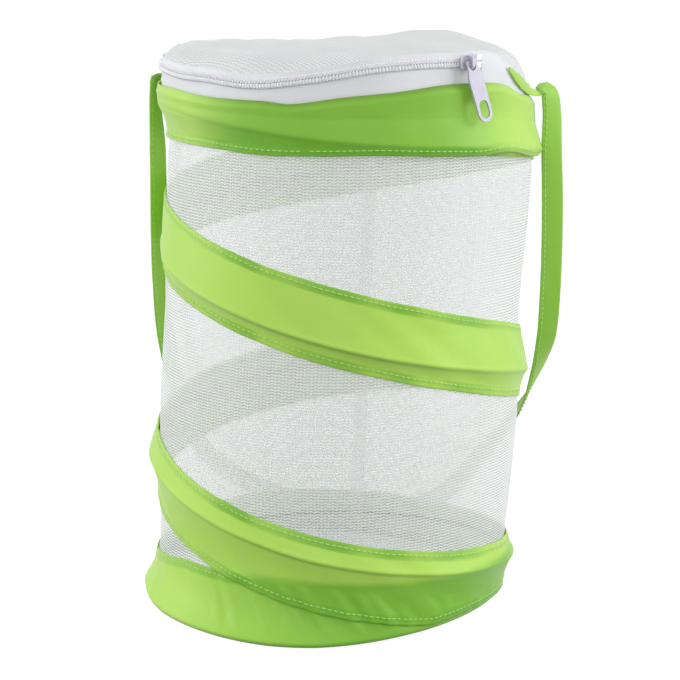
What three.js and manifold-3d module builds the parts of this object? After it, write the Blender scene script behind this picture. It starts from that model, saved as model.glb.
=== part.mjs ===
// Pop-up butterfly cage: a cylinder of fine mesh held open by a spiral of spring wire between two wire rings.
// Millimetres, +Z up, origin on the middle of the floor's underside. The front faces -Y and the carry strap's
// two ends lie on the X axis. A bearing is an angle round the cage, from the front towards +X.
import * as THREE from 'three';
import { mergeVertices } from 'three/addons/utils/BufferGeometryUtils.js';
import Module from 'manifold-3d';

const wasm = await Module();
wasm.setup();

// Driving dimensions
const wallRadius = 98.8;
const lidSeamHeight = 302;
const fitGap = 0.3;

// Cloth, tape and wire
const meshThickness = 0.6;
const tapeThickness = 0.6;
const bandThickness = 0.6;
const floorThickness = 0.9;
const wireRadius = 0.75;
const ferruleWall = 0.3;
const ferruleLength = 16;
const wireEndGap = 0.8;

// Top band, bottom band and the wires in them
const rimHeight = 18.5;
const topBandHeight = 30.5;
const bottomBandHeight = 27.5;
const bandFoot = 0.3;
const topRingInset = 4;
const bottomFlare = 2.4;
const footTuck = 0.6;
const edgeEase = 0.6;
const wallHem = 2.5;
const wallFootShares = [0, 0.25, 0.5, 0.75, 1];

// Rise of the bent rim: a sloping plane at the zip and the flap, then a hump and a dip round the back
const rimRiseMiddle = 6;
const rimRiseRight = 7;
const rimRiseBack = 6;
const rearHumpRise = 8;
const rearHumpBearing = 155;
const rearHumpSpread = 60;
const rearDipRise = -3;
const rearDipBearing = 228;
const rearDipSpread = 35;
const rearSettleReach = 40;

// Spiral spring: its height at each quarter turn and how the band lies on it, as shares
const spiralTurns = 3;
const spiralBulge = 1;
const bulgeRunTurns = 0.5;
const spiralStartBearing = -80;
const spiralHeadDrop = 9.5;
const spiralFootHeight = 7.5;
const spiralBandWidth = 40;
const bandSeamGap = 0.4;
const leastStrip = 2;
const creaseReach = 9;
const creasePlateauShare = 1.35;
const creaseMargin = 3.5;
const creaseFadeTurns = 0.05;
const bottomCreaseRunShare = 0.4;
const topCreaseRunShare = 0.5;
const wireWithinShare = 0.25;
const heightShares = [1, 0.945, 0.919, 0.828, 0.711, 0.563, 0.463, 0.376, 0.274, 0.14, 0.07, 0.023, 0];
const aboveWireShares = [1, 0.97, 0.85, 0.6, 0.68, 0.73, 0.6, 0.5, 0.36, 0.3, 0.27, 0.27, 0.27];

// Seam tape up the wall
const seamBearing = 180;
const seamWidth = 8;

// Zip in the rim
const zipMiddleBearing = -13.5;
const zipHalfAngle = 66.5;
const zipDrop = 8.8;
const tapeHidden = 9.5;
const tapeSlit = 2;
const coilSlit = 1.2;
const coilHeight = 2.6;
const coilDepth = 2;
const coilChamfer = 0.7;
const stopLength = 2.8;
const stopProud = 0.2;
const stopSeat = 2.5;

// Lid cloth and its binding
const bindingHeight = 3.8;
const bindingThickness = 0.8;
const bindingProud = 0.4;
const hingeRise = 0.2;
const flapBulgeHeight = 5;
const rearBulgeHeight = 8;
const bulgeWaveShare = 0.18;
const flapWaves = 2;
const rearWaves = 3;

// Slider of the zip
const sliderLength = 10.4;
const sliderStopGap = 1.4;
const sliderWidth = 8.4;
const sliderTail = 6.4;
const sliderPlate = 1;
const sliderCorner = 1.4;
const sliderOuterRun = 1;
const sliderInnerRun = 0.7;
const lipHeight = 0.6;
const lipSlot = 1.2;
const webThickness = 0.6;
const webLength = 2.6;
const webSetback = 0.4;
const bridgeWidth = 1.6;
const bridgeBar = 1.2;
const bridgeFoot = 1.4;
const bridgeHollow = 2.6;
const bridgeSpan = 3.8;
const sliderOverlap = 0.2;

// Pull tab
const tabLength = 32;
const tabWidth = 8.8;
const tabNeckWidth = 6.6;
const tabThickness = 1.2;
const tabBar = 1.4;
const tabEyeLength = 4.1;
const tabEyeWidth = 3.8;
const tabHoleLength = 9.5;
const tabHoleWidth = 5.6;
const tabHoleRim = 1.6;
const tabShoulder = 3;
const tabCorner = 1.2;
const tabLean = 14;
const tabStandOff = 5;

// Carry strap, with its route as shares of the reach to its end and of its drop
const strapWidth = 11.5;
const strapThickness = 1.4;
const strapDrop = 277;
const strapAxisRise = 0.9;
const strapEndThickness = 0.8;
const strapTailRise = 9;
const strapTailWidth = 5;
const strapTailLean = 3.5;
const strapRootBend = 1;
const strapRouteShares = [
  [1, 0, 0], [1.012, 0, 0], [1.035, 0.004, -0.005], [1.057, 0.012, 0.005], [1.075, 0.03, 0.04],
  [1.087, 0.055, 0.106], [1.102, 0.116, 0.206], [1.112, 0.176, 0.309], [1.113, 0.255, 0.415],
  [1.093, 0.349, 0.501], [1.03, 0.48, 0.58], [0.955, 0.61, 0.66], [0.77, 0.82, 0.78],
  [0.44, 1.02, 0.94], [0, 1.075, 0.985], [-0.5, 0.97, 0.95], [-0.87, 0.74, 0.85],
  [-0.99, 0.49, 0.703], [-1.035, 0.26, 0.548], [-1.035, 0.14, 0.423], [-1.035, 0.09, 0.328],
  [-1.04, 0.045, 0.147], [-1.047, 0.02, 0.05], [-1.045, 0.01, 0.01], [-1.03, 0.004, -0.004],
  [-1.012, 0, 0], [-1, 0, 0],
];
const strapFaceShares = [
  [0, 0, 1], [0, 0, 1], [0.1, 0, 1], [0.7, -0.2, 0.7], [1, -0.5, 0.3],
  [0.6, -1, 0], [0.2, -1, 0], [0.2, -1, 0], [0.2, -1, 0],
  [0.4, -0.9, 0], [0.8, -0.6, 0], [1, -0.1, 0], [0.85, 0.5, 0],
  [0.45, 0.9, 0], [0, 1, 0], [-0.45, 0.9, 0], [-0.75, 0.66, 0],
  [-0.9, 0.4, 0], [-0.9, 0.2, 0], [-0.9, 0, 0], [-0.9, -0.3, 0],
  [-0.9, -0.35, 0], [-1, -0.2, 0.1], [-0.9, 0, 0.5], [-0.2, 0, 1],
  [0, 0, 1], [0, 0, 1],
];

// Counts
const ringSteps = 60;
const wireSides = 6;
const ferruleSides = 8;
const strapSteps = 80;
const strapEndSteps = 12;
const tableRowsPerTurn = 4;
const flapCells = [20, 5];
const rearCells = [28, 6];

// Places worked out from the sizes above
const tapeInner = wallRadius + fitGap;
const tapeOuter = tapeInner + tapeThickness;
const coilInner = tapeOuter + fitGap;
const coilOuter = coilInner + coilDepth;
const ferruleRadius = wireRadius + fitGap + ferruleWall;
const ringRadius = tapeOuter + fitGap + ferruleRadius;
const wireStandOff = ringRadius - wallRadius;
const floorRadius = wallRadius + bottomFlare;
const bottomRingRadius = floorRadius + fitGap + ferruleRadius;
const bottomRingHeight = floorThickness + fitGap + ferruleRadius;
const bottomBandTop = bandFoot + bottomBandHeight;
const topBandTop = lidSeamHeight - rimHeight;
const topBandLow = topBandTop - topBandHeight;
const topRingHeight = topBandTop - topRingInset;
const spiralHeadHeight = topBandTop - spiralHeadDrop;
const tapeFoot = topBandTop - tapeHidden;
const zipHeight = lidSeamHeight - zipDrop;
const lowerTapeTop = zipHeight - tapeSlit / 2;
const upperTapeFoot = zipHeight + tapeSlit / 2;
const lowerCoilTop = zipHeight - coilSlit / 2;
const upperCoilFoot = zipHeight + coilSlit / 2;
const bindingTop = lidSeamHeight + bindingProud;
const hingeHeight = bindingTop + hingeRise;
const hingeReach = tapeInner * Math.cos(THREE.MathUtils.degToRad(zipHalfAngle));
const strapAxisHeight = topBandTop + strapAxisRise;
const strapRootReach = ringRadius + ferruleRadius + 2 * fitGap + bandThickness;
const strapReach = strapRootReach + fitGap;

// Finishes
const finish = (color, roughness, metalness = 0) => new THREE.MeshStandardMaterial({
  color, roughness, metalness,
});
const greenCloth = finish('#8fd14f', 0.75);
const whiteMesh = finish('#e9ecef', 0.85);
const whiteTape = finish('#f2f3f6', 0.8);
const whiteNylon = finish('#f7f7fa', 0.45);
const springSteel = finish('#5c6066', 0.4, 1);
const crimpSteel = finish('#a9adb3', 0.35, 1);
const paleEnamel = finish('#dcd8ea', 0.3, 0.2);

const cage = new THREE.Group();

// General helpers
const bearingAngle = (degrees) => THREE.MathUtils.degToRad(degrees);
const smooth = (share) => THREE.MathUtils.smoothstep(share, 0, 1);
const arcDegrees = (length, radius) => THREE.MathUtils.radToDeg(length / radius);
const onCage = (radius, bearing, height) => new THREE.Vector3(
  radius * Math.sin(bearingAngle(bearing)), -radius * Math.cos(bearingAngle(bearing)), height);

function addPiece(name, geometry, material, parent = cage) {
  const mesh = new THREE.Mesh(geometry, material);
  mesh.name = name;
  parent.add(mesh);
  return mesh;
}

// A closed solid from points and faces: equal points become one, empty faces go, and the faces point outwards
function closedSolid(points, faces) {
  const loose = new THREE.BufferGeometry();
  loose.setAttribute('position', new THREE.Float32BufferAttribute(points.flatMap((p) => p.toArray()), 3));
  loose.setIndex(faces.flat());
  const merged = mergeVertices(loose);
  const index = [...merged.index.array];
  const kept = [];
  const corner = merged.attributes.position;
  let volume = 0;
  for (let i = 0; i < index.length; i += 3) {
    const [a, b, c] = index.slice(i, i + 3);
    if (a === b || b === c || c === a) continue;
    kept.push([a, b, c]);
    const [p, q, r] = [a, b, c].map((n) => new THREE.Vector3().fromBufferAttribute(corner, n));
    volume += p.dot(q.cross(r));
  }
  merged.setIndex(volume < 0 ? kept.flatMap(([a, b, c]) => [a, c, b]) : kept.flat());
  return merged;
}

// Sweeps the same number of section points along stations; the ends are capped unless the sweep closes
function sweptSolid(stations, closes) {
  const count = stations[0].length;
  const points = stations.flat();
  const faces = [];
  const spans = closes ? stations.length : stations.length - 1;
  for (let i = 0; i < spans; i += 1) {
    const here = i * count;
    const next = ((i + 1) % stations.length) * count;
    for (let j = 0; j < count; j += 1) {
      const k = (j + 1) % count;
      faces.push([here + j, here + k, next + k], [here + j, next + k, next + j]);
    }
  }
  if (!closes) {
    const outline = sectionOutline(stations[0]);
    const last = (stations.length - 1) * count;
    for (const [a, b, c] of THREE.ShapeUtils.triangulateShape(outline, [])) {
      faces.push([c, b, a], [last + a, last + b, last + c]);
    }
  }
  return closedSolid(points, faces);
}

// The first section laid flat, so that its cap can be cut into triangles
function sectionOutline(section) {
  const middle = section.reduce((sum, p) => sum.add(p), new THREE.Vector3()).divideScalar(section.length);
  const across = section[0].clone().sub(middle).normalize();
  const normal = new THREE.Vector3();
  section.forEach((p, i) => {
    const next = section[(i + 1) % section.length];
    normal.add(p.clone().sub(middle).cross(next.clone().sub(middle)));
  });
  const along = normal.normalize().clone().cross(across);
  return section.map((p) => {
    const out = p.clone().sub(middle);
    return new THREE.Vector2(out.dot(across), out.dot(along));
  });
}

// Sweeps a section of [radius, height] corners round the cage between two bearings
function roundTheCage(sectionAt, from, to) {
  const closes = to - from >= 360;
  const steps = Math.max(2, Math.ceil(((to - from) / 360) * ringSteps));
  const stations = [];
  for (let i = 0; i < (closes ? steps : steps + 1); i += 1) {
    const bearing = from + ((to - from) * i) / steps;
    stations.push(sectionAt(bearing).map(([radius, height]) => onCage(radius, bearing, height)));
  }
  return sweptSolid(stations, closes);
}

const strip = (inner, outer, low, high) => () => [[inner, low], [outer, low], [outer, high], [inner, high]];

const roundSection = (radius, height, size, sides) => () => Array.from({ length: sides }, (_, i) => {
  const turn = (2 * Math.PI * (i + 0.5)) / sides;
  return [radius + size * Math.cos(turn), height + size * Math.sin(turn)];
});

function toManifold(geometry) {
  const bare = geometry.clone();
  bare.deleteAttribute('normal');
  bare.deleteAttribute('uv');
  const merged = mergeVertices(bare);
  return new wasm.Manifold(new wasm.Mesh({
    numProp: 3,
    vertProperties: merged.attributes.position.array,
    triVerts: new Uint32Array(merged.index.array),
  }));
}

function fromManifold(solid) {
  const { vertProperties, triVerts } = solid.getMesh();
  const geometry = new THREE.BufferGeometry();
  geometry.setAttribute('position', new THREE.BufferAttribute(vertProperties, 3));
  geometry.setIndex(new THREE.BufferAttribute(triVerts, 1));
  return geometry;
}

// Spiral spring wire: its height and its distance from the axis along the turns
function tableAt(shares, turns) {
  const place = THREE.MathUtils.clamp(turns * tableRowsPerTurn, 0, shares.length - 1);
  const i = Math.min(Math.floor(place), shares.length - 2);
  const [before, here, next, after] = [i - 1, i, i + 1, i + 2].map(
    (n) => shares[THREE.MathUtils.clamp(n, 0, shares.length - 1)]);
  const t = place - i;
  const [slopeHere, slopeNext] = [(next - before) / 2, (after - here) / 2];
  return here + t * (slopeHere + t * (3 * (next - here) - 2 * slopeHere - slopeNext
    + t * (slopeHere + slopeNext - 2 * (next - here))));
}

const wallAt = (height) => wallRadius + bottomFlare * smooth((bottomBandTop - height) / bottomBandTop);
const spiralHeight = (turns) => spiralFootHeight
  + (spiralHeadHeight - spiralFootHeight) * tableAt(heightShares, turns);
const spiralRadius = (turns) => wallAt(spiralHeight(turns)) + wireStandOff
  + spiralBulge * smooth(turns / bulgeRunTurns) * smooth((spiralTurns - turns) / bulgeRunTurns);
const spiralBearing = (turns) => spiralStartBearing + 360 * turns;
const turnShare = (bearing) => THREE.MathUtils.euclideanModulo((bearing - spiralStartBearing) / 360, 1);

// Rise of the rim over a place: a plane in front of the fold line, and the ring's hump and dip behind it
const foldLine = (bearing) => new THREE.Vector2(
  Math.sin(bearingAngle(bearing)), -Math.cos(bearingAngle(bearing)));
const planeRise = (x, y) => rimRiseMiddle + (rimRiseRight * x + rimRiseBack * y) / wallRadius;
const bump = (bearing, middle, spread) => smooth(
  1 - Math.abs(THREE.MathUtils.euclideanModulo(bearing - middle + 180, 360) - 180) / spread);

function rimRise(x, y) {
  const bearing = THREE.MathUtils.radToDeg(Math.atan2(x, -y));
  const behind = hingeReach - foldLine(zipMiddleBearing).dot(new THREE.Vector2(x, y));
  const hump = rearHumpRise * bump(bearing, rearHumpBearing, rearHumpSpread);
  const dip = rearDipRise * bump(bearing, rearDipBearing, rearDipSpread);
  const rear = (hump + dip) * Math.min(1, Math.hypot(x, y) / wallRadius) ** 2;
  return THREE.MathUtils.lerp(planeRise(x, y), rear, smooth(behind / rearSettleReach));
}

// Height of a place risen with the rim: not at all at the top band's foot, fully at the spiral's head
function raisedHeight(x, y, height) {
  const share = (height - topBandLow) / (spiralHeadHeight - topBandLow);
  return height + rimRise(x, y) * THREE.MathUtils.clamp(share, 0, 1);
}

function addRimPiece(name, geometry, material) {
  const place = geometry.attributes.position;
  for (let i = 0; i < place.count; i += 1) {
    place.setZ(i, raisedHeight(place.getX(i), place.getY(i), place.getZ(i)));
  }
  return addPiece(name, geometry, material);
}

class SpiralCurve extends THREE.Curve {
  getPoint(share, target = new THREE.Vector3()) {
    const turns = share * spiralTurns;
    target.copy(onCage(spiralRadius(turns), spiralBearing(turns), spiralHeight(turns)));
    return target.setZ(raisedHeight(target.x, target.y, target.z));
  }
}

// How far a wire pushes out the cloth at a height: 0 where it lies on the wall, 1 where it lies on the wire
const pushedOut = (height, wireHeight) => THREE.MathUtils.clamp(
  creasePlateauShare - Math.abs(height - wireHeight) / creaseReach, 0, 1);
const overWire = (wireAxisRadius) => wireAxisRadius + wireRadius + fitGap;

// Radius of a casing's inside where a spiral turn passes behind it
function casingInner(height, base, turns, strength) {
  const out = overWire(spiralRadius(turns));
  return base + Math.max(0, out - base) * strength * pushedOut(height, spiralHeight(turns));
}

const casing = (rows) => [
  ...rows.map(([radius, height]) => [radius, height]),
  ...rows.toReversed().map(([radius, height]) => [radius + bandThickness, height]),
];

// Floor, wall and the bottom ring
const floorSection = () => [[0, 0], [floorRadius, 0], [floorRadius, floorThickness], [0, floorThickness]];
addPiece('floor_panel', roundTheCage(floorSection, 0, 360), whiteTape);

const wallFoot = floorThickness + fitGap;
const wallTop = topBandTop - wallHem;
const wallHeights = wallFootShares.map((share) => wallFoot + (bottomBandTop - wallFoot) * share);
const wallRows = [...wallHeights, wallTop];
addRimPiece('wall_mesh', roundTheCage(() => [
  ...wallRows.map((height) => [wallAt(height), height]),
  ...wallRows.toReversed().map((height) => [wallAt(height) - meshThickness, height]),
], 0, 360), whiteMesh);

const seamOuter = wallRadius - meshThickness - fitGap;
const seamHalf = arcDegrees(seamWidth / 2, seamOuter);
addRimPiece('wall_seam_tape', roundTheCage(
  strip(seamOuter - tapeThickness, seamOuter, wallFoot, wallTop),
  seamBearing - seamHalf,
  seamBearing + seamHalf,
), whiteTape);

function wireRing(name, radius, height) {
  const gap = arcDegrees(wireEndGap / 2, radius);
  const section = roundSection(radius, height, wireRadius, wireSides);
  addRimPiece(`${name}_wire`, roundTheCage(section, seamBearing + gap, seamBearing + 360 - gap), springSteel);
  const half = arcDegrees(ferruleLength / 2, radius);
  const past = arcDegrees(ferruleLength, radius);
  const body = roundTheCage(roundSection(radius, height, ferruleRadius, ferruleSides),
    seamBearing - half, seamBearing + half);
  const bore = roundTheCage(roundSection(radius, height, wireRadius + fitGap, ferruleSides),
    seamBearing - past, seamBearing + past);
  addRimPiece(`${name}_ferrule`, fromManifold(toManifold(body).subtract(toManifold(bore))), crimpSteel);
}

wireRing('bottom_ring', bottomRingRadius, bottomRingHeight);
wireRing('top_ring', ringRadius, topRingHeight);

// Bottom band: the spiral's last turn runs down behind it to the ring
function bottomBandSection(bearing) {
  const share = turnShare(bearing);
  const turns = spiralTurns - 1 + share;
  const ringInner = bottomRingRadius + ferruleRadius + fitGap;
  const edgeInner = wallRadius + fitGap;
  const lowest = spiralFootHeight;
  const highest = bottomBandTop - creaseMargin;
  const settled = THREE.MathUtils.clamp(spiralHeight(turns), lowest, highest);
  const rise = lowest + (highest - lowest) * smooth(share / bottomCreaseRunShare);
  const creaseHeight = share < bottomCreaseRunShare ? rise : settled;
  const slope = (bottomBandTop - creaseHeight) / (bottomBandTop - bottomRingHeight);
  const creaseBase = edgeInner + (ringInner - edgeInner) * slope;
  const ended = 1 - Math.min(1, share / creaseFadeTurns);
  const creaseInner = Math.max(
    casingInner(creaseHeight, creaseBase, turns, 1),
    casingInner(creaseHeight, creaseBase, spiralTurns, ended),
  );
  return casing([
    [ringInner - footTuck, bandFoot],
    [ringInner, bottomRingHeight],
    [creaseInner, creaseHeight],
    [casingInner(bottomBandTop, edgeInner, turns, 1), bottomBandTop],
  ]);
}
addPiece('bottom_band', roundTheCage(bottomBandSection, 0, 360), greenCloth);

// Top band: the spiral's first turn leaves the ring behind it
function topBandSection(bearing) {
  const share = turnShare(bearing);
  const ringInner = ringRadius + ferruleRadius + fitGap;
  const edgeInner = wallRadius + fitGap;
  const lowest = topBandLow + creaseMargin;
  const highest = spiralHeadHeight;
  const settled = THREE.MathUtils.clamp(spiralHeight(share), lowest, highest);
  const rise = lowest + (highest - lowest) * smooth((share - topCreaseRunShare) / (1 - topCreaseRunShare));
  const creaseHeight = share < topCreaseRunShare ? settled : rise;
  const slope = (creaseHeight - topBandLow) / (topRingHeight - topBandLow);
  const creaseBase = edgeInner + (ringInner - edgeInner) * slope;
  const started = Math.max(0, (share - 1) / creaseFadeTurns + 1);
  const creaseInner = Math.max(
    casingInner(creaseHeight, creaseBase, share, 1), casingInner(creaseHeight, creaseBase, 0, started));
  return casing([
    [casingInner(topBandLow, edgeInner, share, 1), topBandLow],
    [creaseInner, creaseHeight],
    [ringInner, topRingHeight],
    [tapeOuter + fitGap + edgeEase, topBandTop],
  ]);
}
addRimPiece('top_band', roundTheCage(topBandSection, 0, 360), greenCloth);

// Spiral wire, and the band sewn over it where it runs between the top band and the bottom band
const spiral = new SpiralCurve();
const wireOutline = new THREE.Shape(Array.from({ length: wireSides }, (_, i) => {
  const turn = (2 * Math.PI * i) / wireSides;
  return new THREE.Vector2(wireRadius * Math.cos(turn), wireRadius * Math.sin(turn));
}));
addPiece('spiral_spring_wire', new THREE.ExtrudeGeometry(wireOutline, {
  steps: spiralTurns * ringSteps,
  extrudePath: spiral,
  bevelEnabled: false,
}), springSteel);

function spiralBandSection(turns) {
  const wire = spiralHeight(turns);
  const above = tableAt(aboveWireShares, turns);
  const high = Math.min(wire + above * spiralBandWidth, topBandLow - bandSeamGap);
  const low = Math.max(wire - (1 - above) * spiralBandWidth, bottomBandTop + bandSeamGap);
  const margin = (high - low) * wireWithinShare;
  const middle = THREE.MathUtils.clamp(wire, low + margin, high - margin);
  const inner = (height) => casingInner(height, wallAt(height) + fitGap, turns, 1);
  const rows = [low, middle, high].map((height) => [inner(height), height]);
  return { height: high - low, corners: casing(rows) };
}

const spiralBandStations = [];
for (let i = 0; i <= spiralTurns * ringSteps; i += 1) {
  const turns = i / ringSteps;
  const { height, corners } = spiralBandSection(turns);
  if (height > leastStrip) {
    spiralBandStations.push(corners.map(([radius, z]) => onCage(radius, spiralBearing(turns), z)));
  }
}
addPiece('spiral_band', sweptSolid(spiralBandStations, false), greenCloth);

// Least gap of the spiral wire to itself, on points more than half a turn apart
const wirePoints = Array.from({ length: spiralTurns * ringSteps + 1 },
  (_, i) => spiral.getPoint(i / (spiralTurns * ringSteps)));
let leastGap = Infinity;
wirePoints.forEach((p, i) => wirePoints.slice(i + ringSteps / 2).forEach((q) => {
  leastGap = Math.min(leastGap, p.distanceTo(q) - 2 * wireRadius);
}));
console.log(`spiral wire: least gap to itself ${leastGap.toFixed(1)} mm`);

// Rim: the zip runs round the front, and plain tape round the back
const lidEnd = (reach, radius) => THREE.MathUtils.radToDeg(Math.acos(reach / radius));
const flapReach = hingeReach + fitGap;
const rearReach = hingeReach - fitGap;
const flapHalf = lidEnd(flapReach, tapeInner);
const rearHalf = lidEnd(rearReach, tapeOuter + fitGap + bindingThickness);
const frontArc = (half) => [zipMiddleBearing - half, zipMiddleBearing + half];
const rearArc = (half) => [zipMiddleBearing + half, zipMiddleBearing + 360 - half];
const lowerHalf = rearHalf - arcDegrees(fitGap, tapeInner);

addRimPiece('lower_zip_tape', roundTheCage(strip(tapeInner, tapeOuter, tapeFoot, lowerTapeTop),
  ...frontArc(lowerHalf)), whiteTape);
addRimPiece('rim_tape_rear', roundTheCage(strip(tapeInner, tapeOuter, tapeFoot, lidSeamHeight),
  ...rearArc(rearHalf)), whiteTape);
addRimPiece('upper_zip_tape', roundTheCage(strip(tapeInner, tapeOuter, upperTapeFoot, lidSeamHeight),
  ...frontArc(flapHalf)), whiteTape);

const stopOuterHalf = flapHalf - arcDegrees(stopSeat, coilInner);
const stopInnerHalf = stopOuterHalf - arcDegrees(stopLength, coilInner);
const coilHalf = stopInnerHalf - arcDegrees(fitGap, coilInner);
const coil = (low, high) => () => [
  [coilInner, low], [coilOuter - coilChamfer, low], [coilOuter, low + coilChamfer],
  [coilOuter, high - coilChamfer], [coilOuter - coilChamfer, high], [coilInner, high],
];
const lowerCoilFoot = lowerCoilTop - coilHeight;
const upperCoilTop = upperCoilFoot + coilHeight;
addRimPiece('lower_zip_coil',
  roundTheCage(coil(lowerCoilFoot, lowerCoilTop), ...frontArc(coilHalf)), whiteNylon);
addRimPiece('upper_zip_coil',
  roundTheCage(coil(upperCoilFoot, upperCoilTop), ...frontArc(coilHalf)), whiteNylon);

const stopAt = (from, to, low, high) => roundTheCage(
  strip(coilInner, coilOuter + stopProud, low, high), zipMiddleBearing + from, zipMiddleBearing + to);
addRimPiece('zip_top_stop_lower',
  stopAt(stopInnerHalf, stopOuterHalf, lowerCoilFoot, lowerCoilTop), crimpSteel);
addRimPiece('zip_top_stop_upper',
  stopAt(stopInnerHalf, stopOuterHalf, upperCoilFoot, upperCoilTop), crimpSteel);
addRimPiece('zip_bottom_stop',
  stopAt(-stopOuterHalf, -stopInnerHalf, lowerCoilFoot, upperCoilFoot - bandSeamGap), crimpSteel);

// Lid: the flap in front of the fold line and the part behind it, each with its binding on the rim
const bindingInner = tapeOuter + fitGap;
const bindingSection = strip(
  bindingInner, bindingInner + bindingThickness, bindingTop - bindingHeight, bindingTop);
addRimPiece('flap_binding', roundTheCage(bindingSection, ...frontArc(flapHalf)), whiteTape);
addRimPiece('rim_binding_rear', roundTheCage(bindingSection, ...rearArc(rearHalf)), whiteTape);

// Cloth between the fold line and the rim, bulged and slack, thick by the mesh
function lidCloth(reach, half, bulge, waves, cells, behind) {
  const [columns, rows] = cells;
  const [from, to] = behind ? rearArc(half) : frontArc(half);
  const start = foldLine(from).multiplyScalar(wallRadius);
  const end = foldLine(to).multiplyScalar(wallRadius);
  const points = [];
  for (let i = 0; i <= columns; i += 1) {
    const along = i / columns;
    const rim = foldLine(from + (to - from) * along).multiplyScalar(wallRadius);
    const fold = start.clone().lerp(end, along);
    for (let j = 0; j <= rows; j += 1) {
      const across = j / rows;
      const place = fold.clone().lerp(rim, across);
      const swell = Math.sin(Math.PI * along) * Math.sin(Math.PI * across);
      const wave = 1 + bulgeWaveShare * Math.sin(2 * Math.PI * waves * along);
      points.push(new THREE.Vector3(place.x, place.y, lidSeamHeight + bulge * swell * wave));
    }
  }
  const top = points.length;
  points.push(...points.map((p) => new THREE.Vector3(p.x, p.y, p.z - meshThickness)));
  const faces = [];
  const at = (i, j) => i * (rows + 1) + j;
  for (let i = 0; i < columns; i += 1) {
    for (let j = 0; j < rows; j += 1) {
      const [a, b, c, d] = [at(i, j), at(i + 1, j), at(i + 1, j + 1), at(i, j + 1)];
      faces.push([a, b, c], [a, c, d], [top + a, top + c, top + b], [top + a, top + d, top + c]);
    }
    for (const [j, turned] of [[0, false], [rows, true]]) {
      const [a, b] = turned ? [at(i + 1, j), at(i, j)] : [at(i, j), at(i + 1, j)];
      faces.push([a, top + a, top + b], [a, top + b, b]);
    }
  }
  return closedSolid(points, faces);
}

const flapClothHalf = lidEnd(flapReach, wallRadius);
const rearClothHalf = lidEnd(rearReach, wallRadius);
addRimPiece('lid_mesh_flap',
  lidCloth(flapReach, flapClothHalf, flapBulgeHeight, flapWaves, flapCells, false), whiteMesh);
addRimPiece('lid_mesh_rear',
  lidCloth(rearReach, rearClothHalf, rearBulgeHeight, rearWaves, rearCells, true), whiteMesh);

// Slider: two plates round both rows of the coil, joined by a web between them, with a bridge for the tab.
// Local axes: X out from the cage, Y along the zip towards its closed end, Z up from the zip's middle.
const sliderReach = stopInnerHalf - arcDegrees(sliderLength / 2 + sliderStopGap, coilInner);
const sliderBearing = zipMiddleBearing + sliderReach;
const sliderOpenBearing = zipMiddleBearing - sliderReach;
const outerFace = coilOuter + sliderOuterRun;
const bridgeFace = outerFace + sliderPlate;
const innerFace = tapeInner - sliderInnerRun;

function sliderOutline() {
  const [long, wide, tail] = [sliderLength / 2, sliderWidth / 2, sliderTail / 2];
  const shape = new THREE.Shape();
  shape.moveTo(-long, -tail + sliderCorner);
  shape.quadraticCurveTo(-long, -tail, -long + sliderCorner, -tail);
  shape.lineTo(long - 2 * sliderCorner, -wide);
  shape.quadraticCurveTo(long, -wide, long, -wide + 2 * sliderCorner);
  shape.lineTo(long, wide - 2 * sliderCorner);
  shape.quadraticCurveTo(long, wide, long - 2 * sliderCorner, wide);
  shape.lineTo(-long + sliderCorner, tail);
  shape.quadraticCurveTo(-long, tail, -long, tail - sliderCorner);
  shape.closePath();
  return shape;
}

// An outline drawn along the zip and up, made solid from one distance out to another
function platedOut(shape, from, to) {
  const geometry = new THREE.ExtrudeGeometry(shape, {
    depth: to - from, bevelEnabled: false, curveSegments: 3,
  });
  const axes = new THREE.Matrix4().makeBasis(
    new THREE.Vector3(0, 1, 0), new THREE.Vector3(0, 0, 1), new THREE.Vector3(1, 0, 0));
  geometry.applyMatrix4(axes);
  geometry.translate(from, 0, 0);
  return geometry;
}

function block(fromX, toX, fromY, toY, fromZ, toZ) {
  const geometry = new THREE.BoxGeometry(toX - fromX, toY - fromY, toZ - fromZ);
  geometry.translate((fromX + toX) / 2, (fromY + toY) / 2, (fromZ + toZ) / 2);
  return geometry;
}

function bridgeArch() {
  const foot = bridgeSpan / 2 + bridgeFoot;
  const hollow = bridgeSpan / 2;
  const top = bridgeFace + bridgeHollow + bridgeBar;
  const shape = new THREE.Shape();
  shape.moveTo(bridgeFace - sliderOverlap, -foot);
  shape.lineTo(top - bridgeBar, -foot);
  shape.lineTo(top, -hollow);
  shape.lineTo(top, hollow);
  shape.lineTo(top - bridgeBar, foot);
  shape.lineTo(bridgeFace - sliderOverlap, foot);
  shape.lineTo(bridgeFace - sliderOverlap, hollow);
  shape.lineTo(bridgeFace + bridgeHollow, hollow);
  shape.lineTo(bridgeFace + bridgeHollow, -hollow);
  shape.lineTo(bridgeFace - sliderOverlap, -hollow);
  shape.closePath();
  const geometry = new THREE.ExtrudeGeometry(shape, { depth: bridgeWidth, bevelEnabled: false });
  geometry.applyMatrix4(new THREE.Matrix4().makeBasis(
    new THREE.Vector3(1, 0, 0), new THREE.Vector3(0, 0, 1), new THREE.Vector3(0, -1, 0)));
  geometry.translate(0, bridgeWidth / 2, 0);
  return geometry;
}

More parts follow.
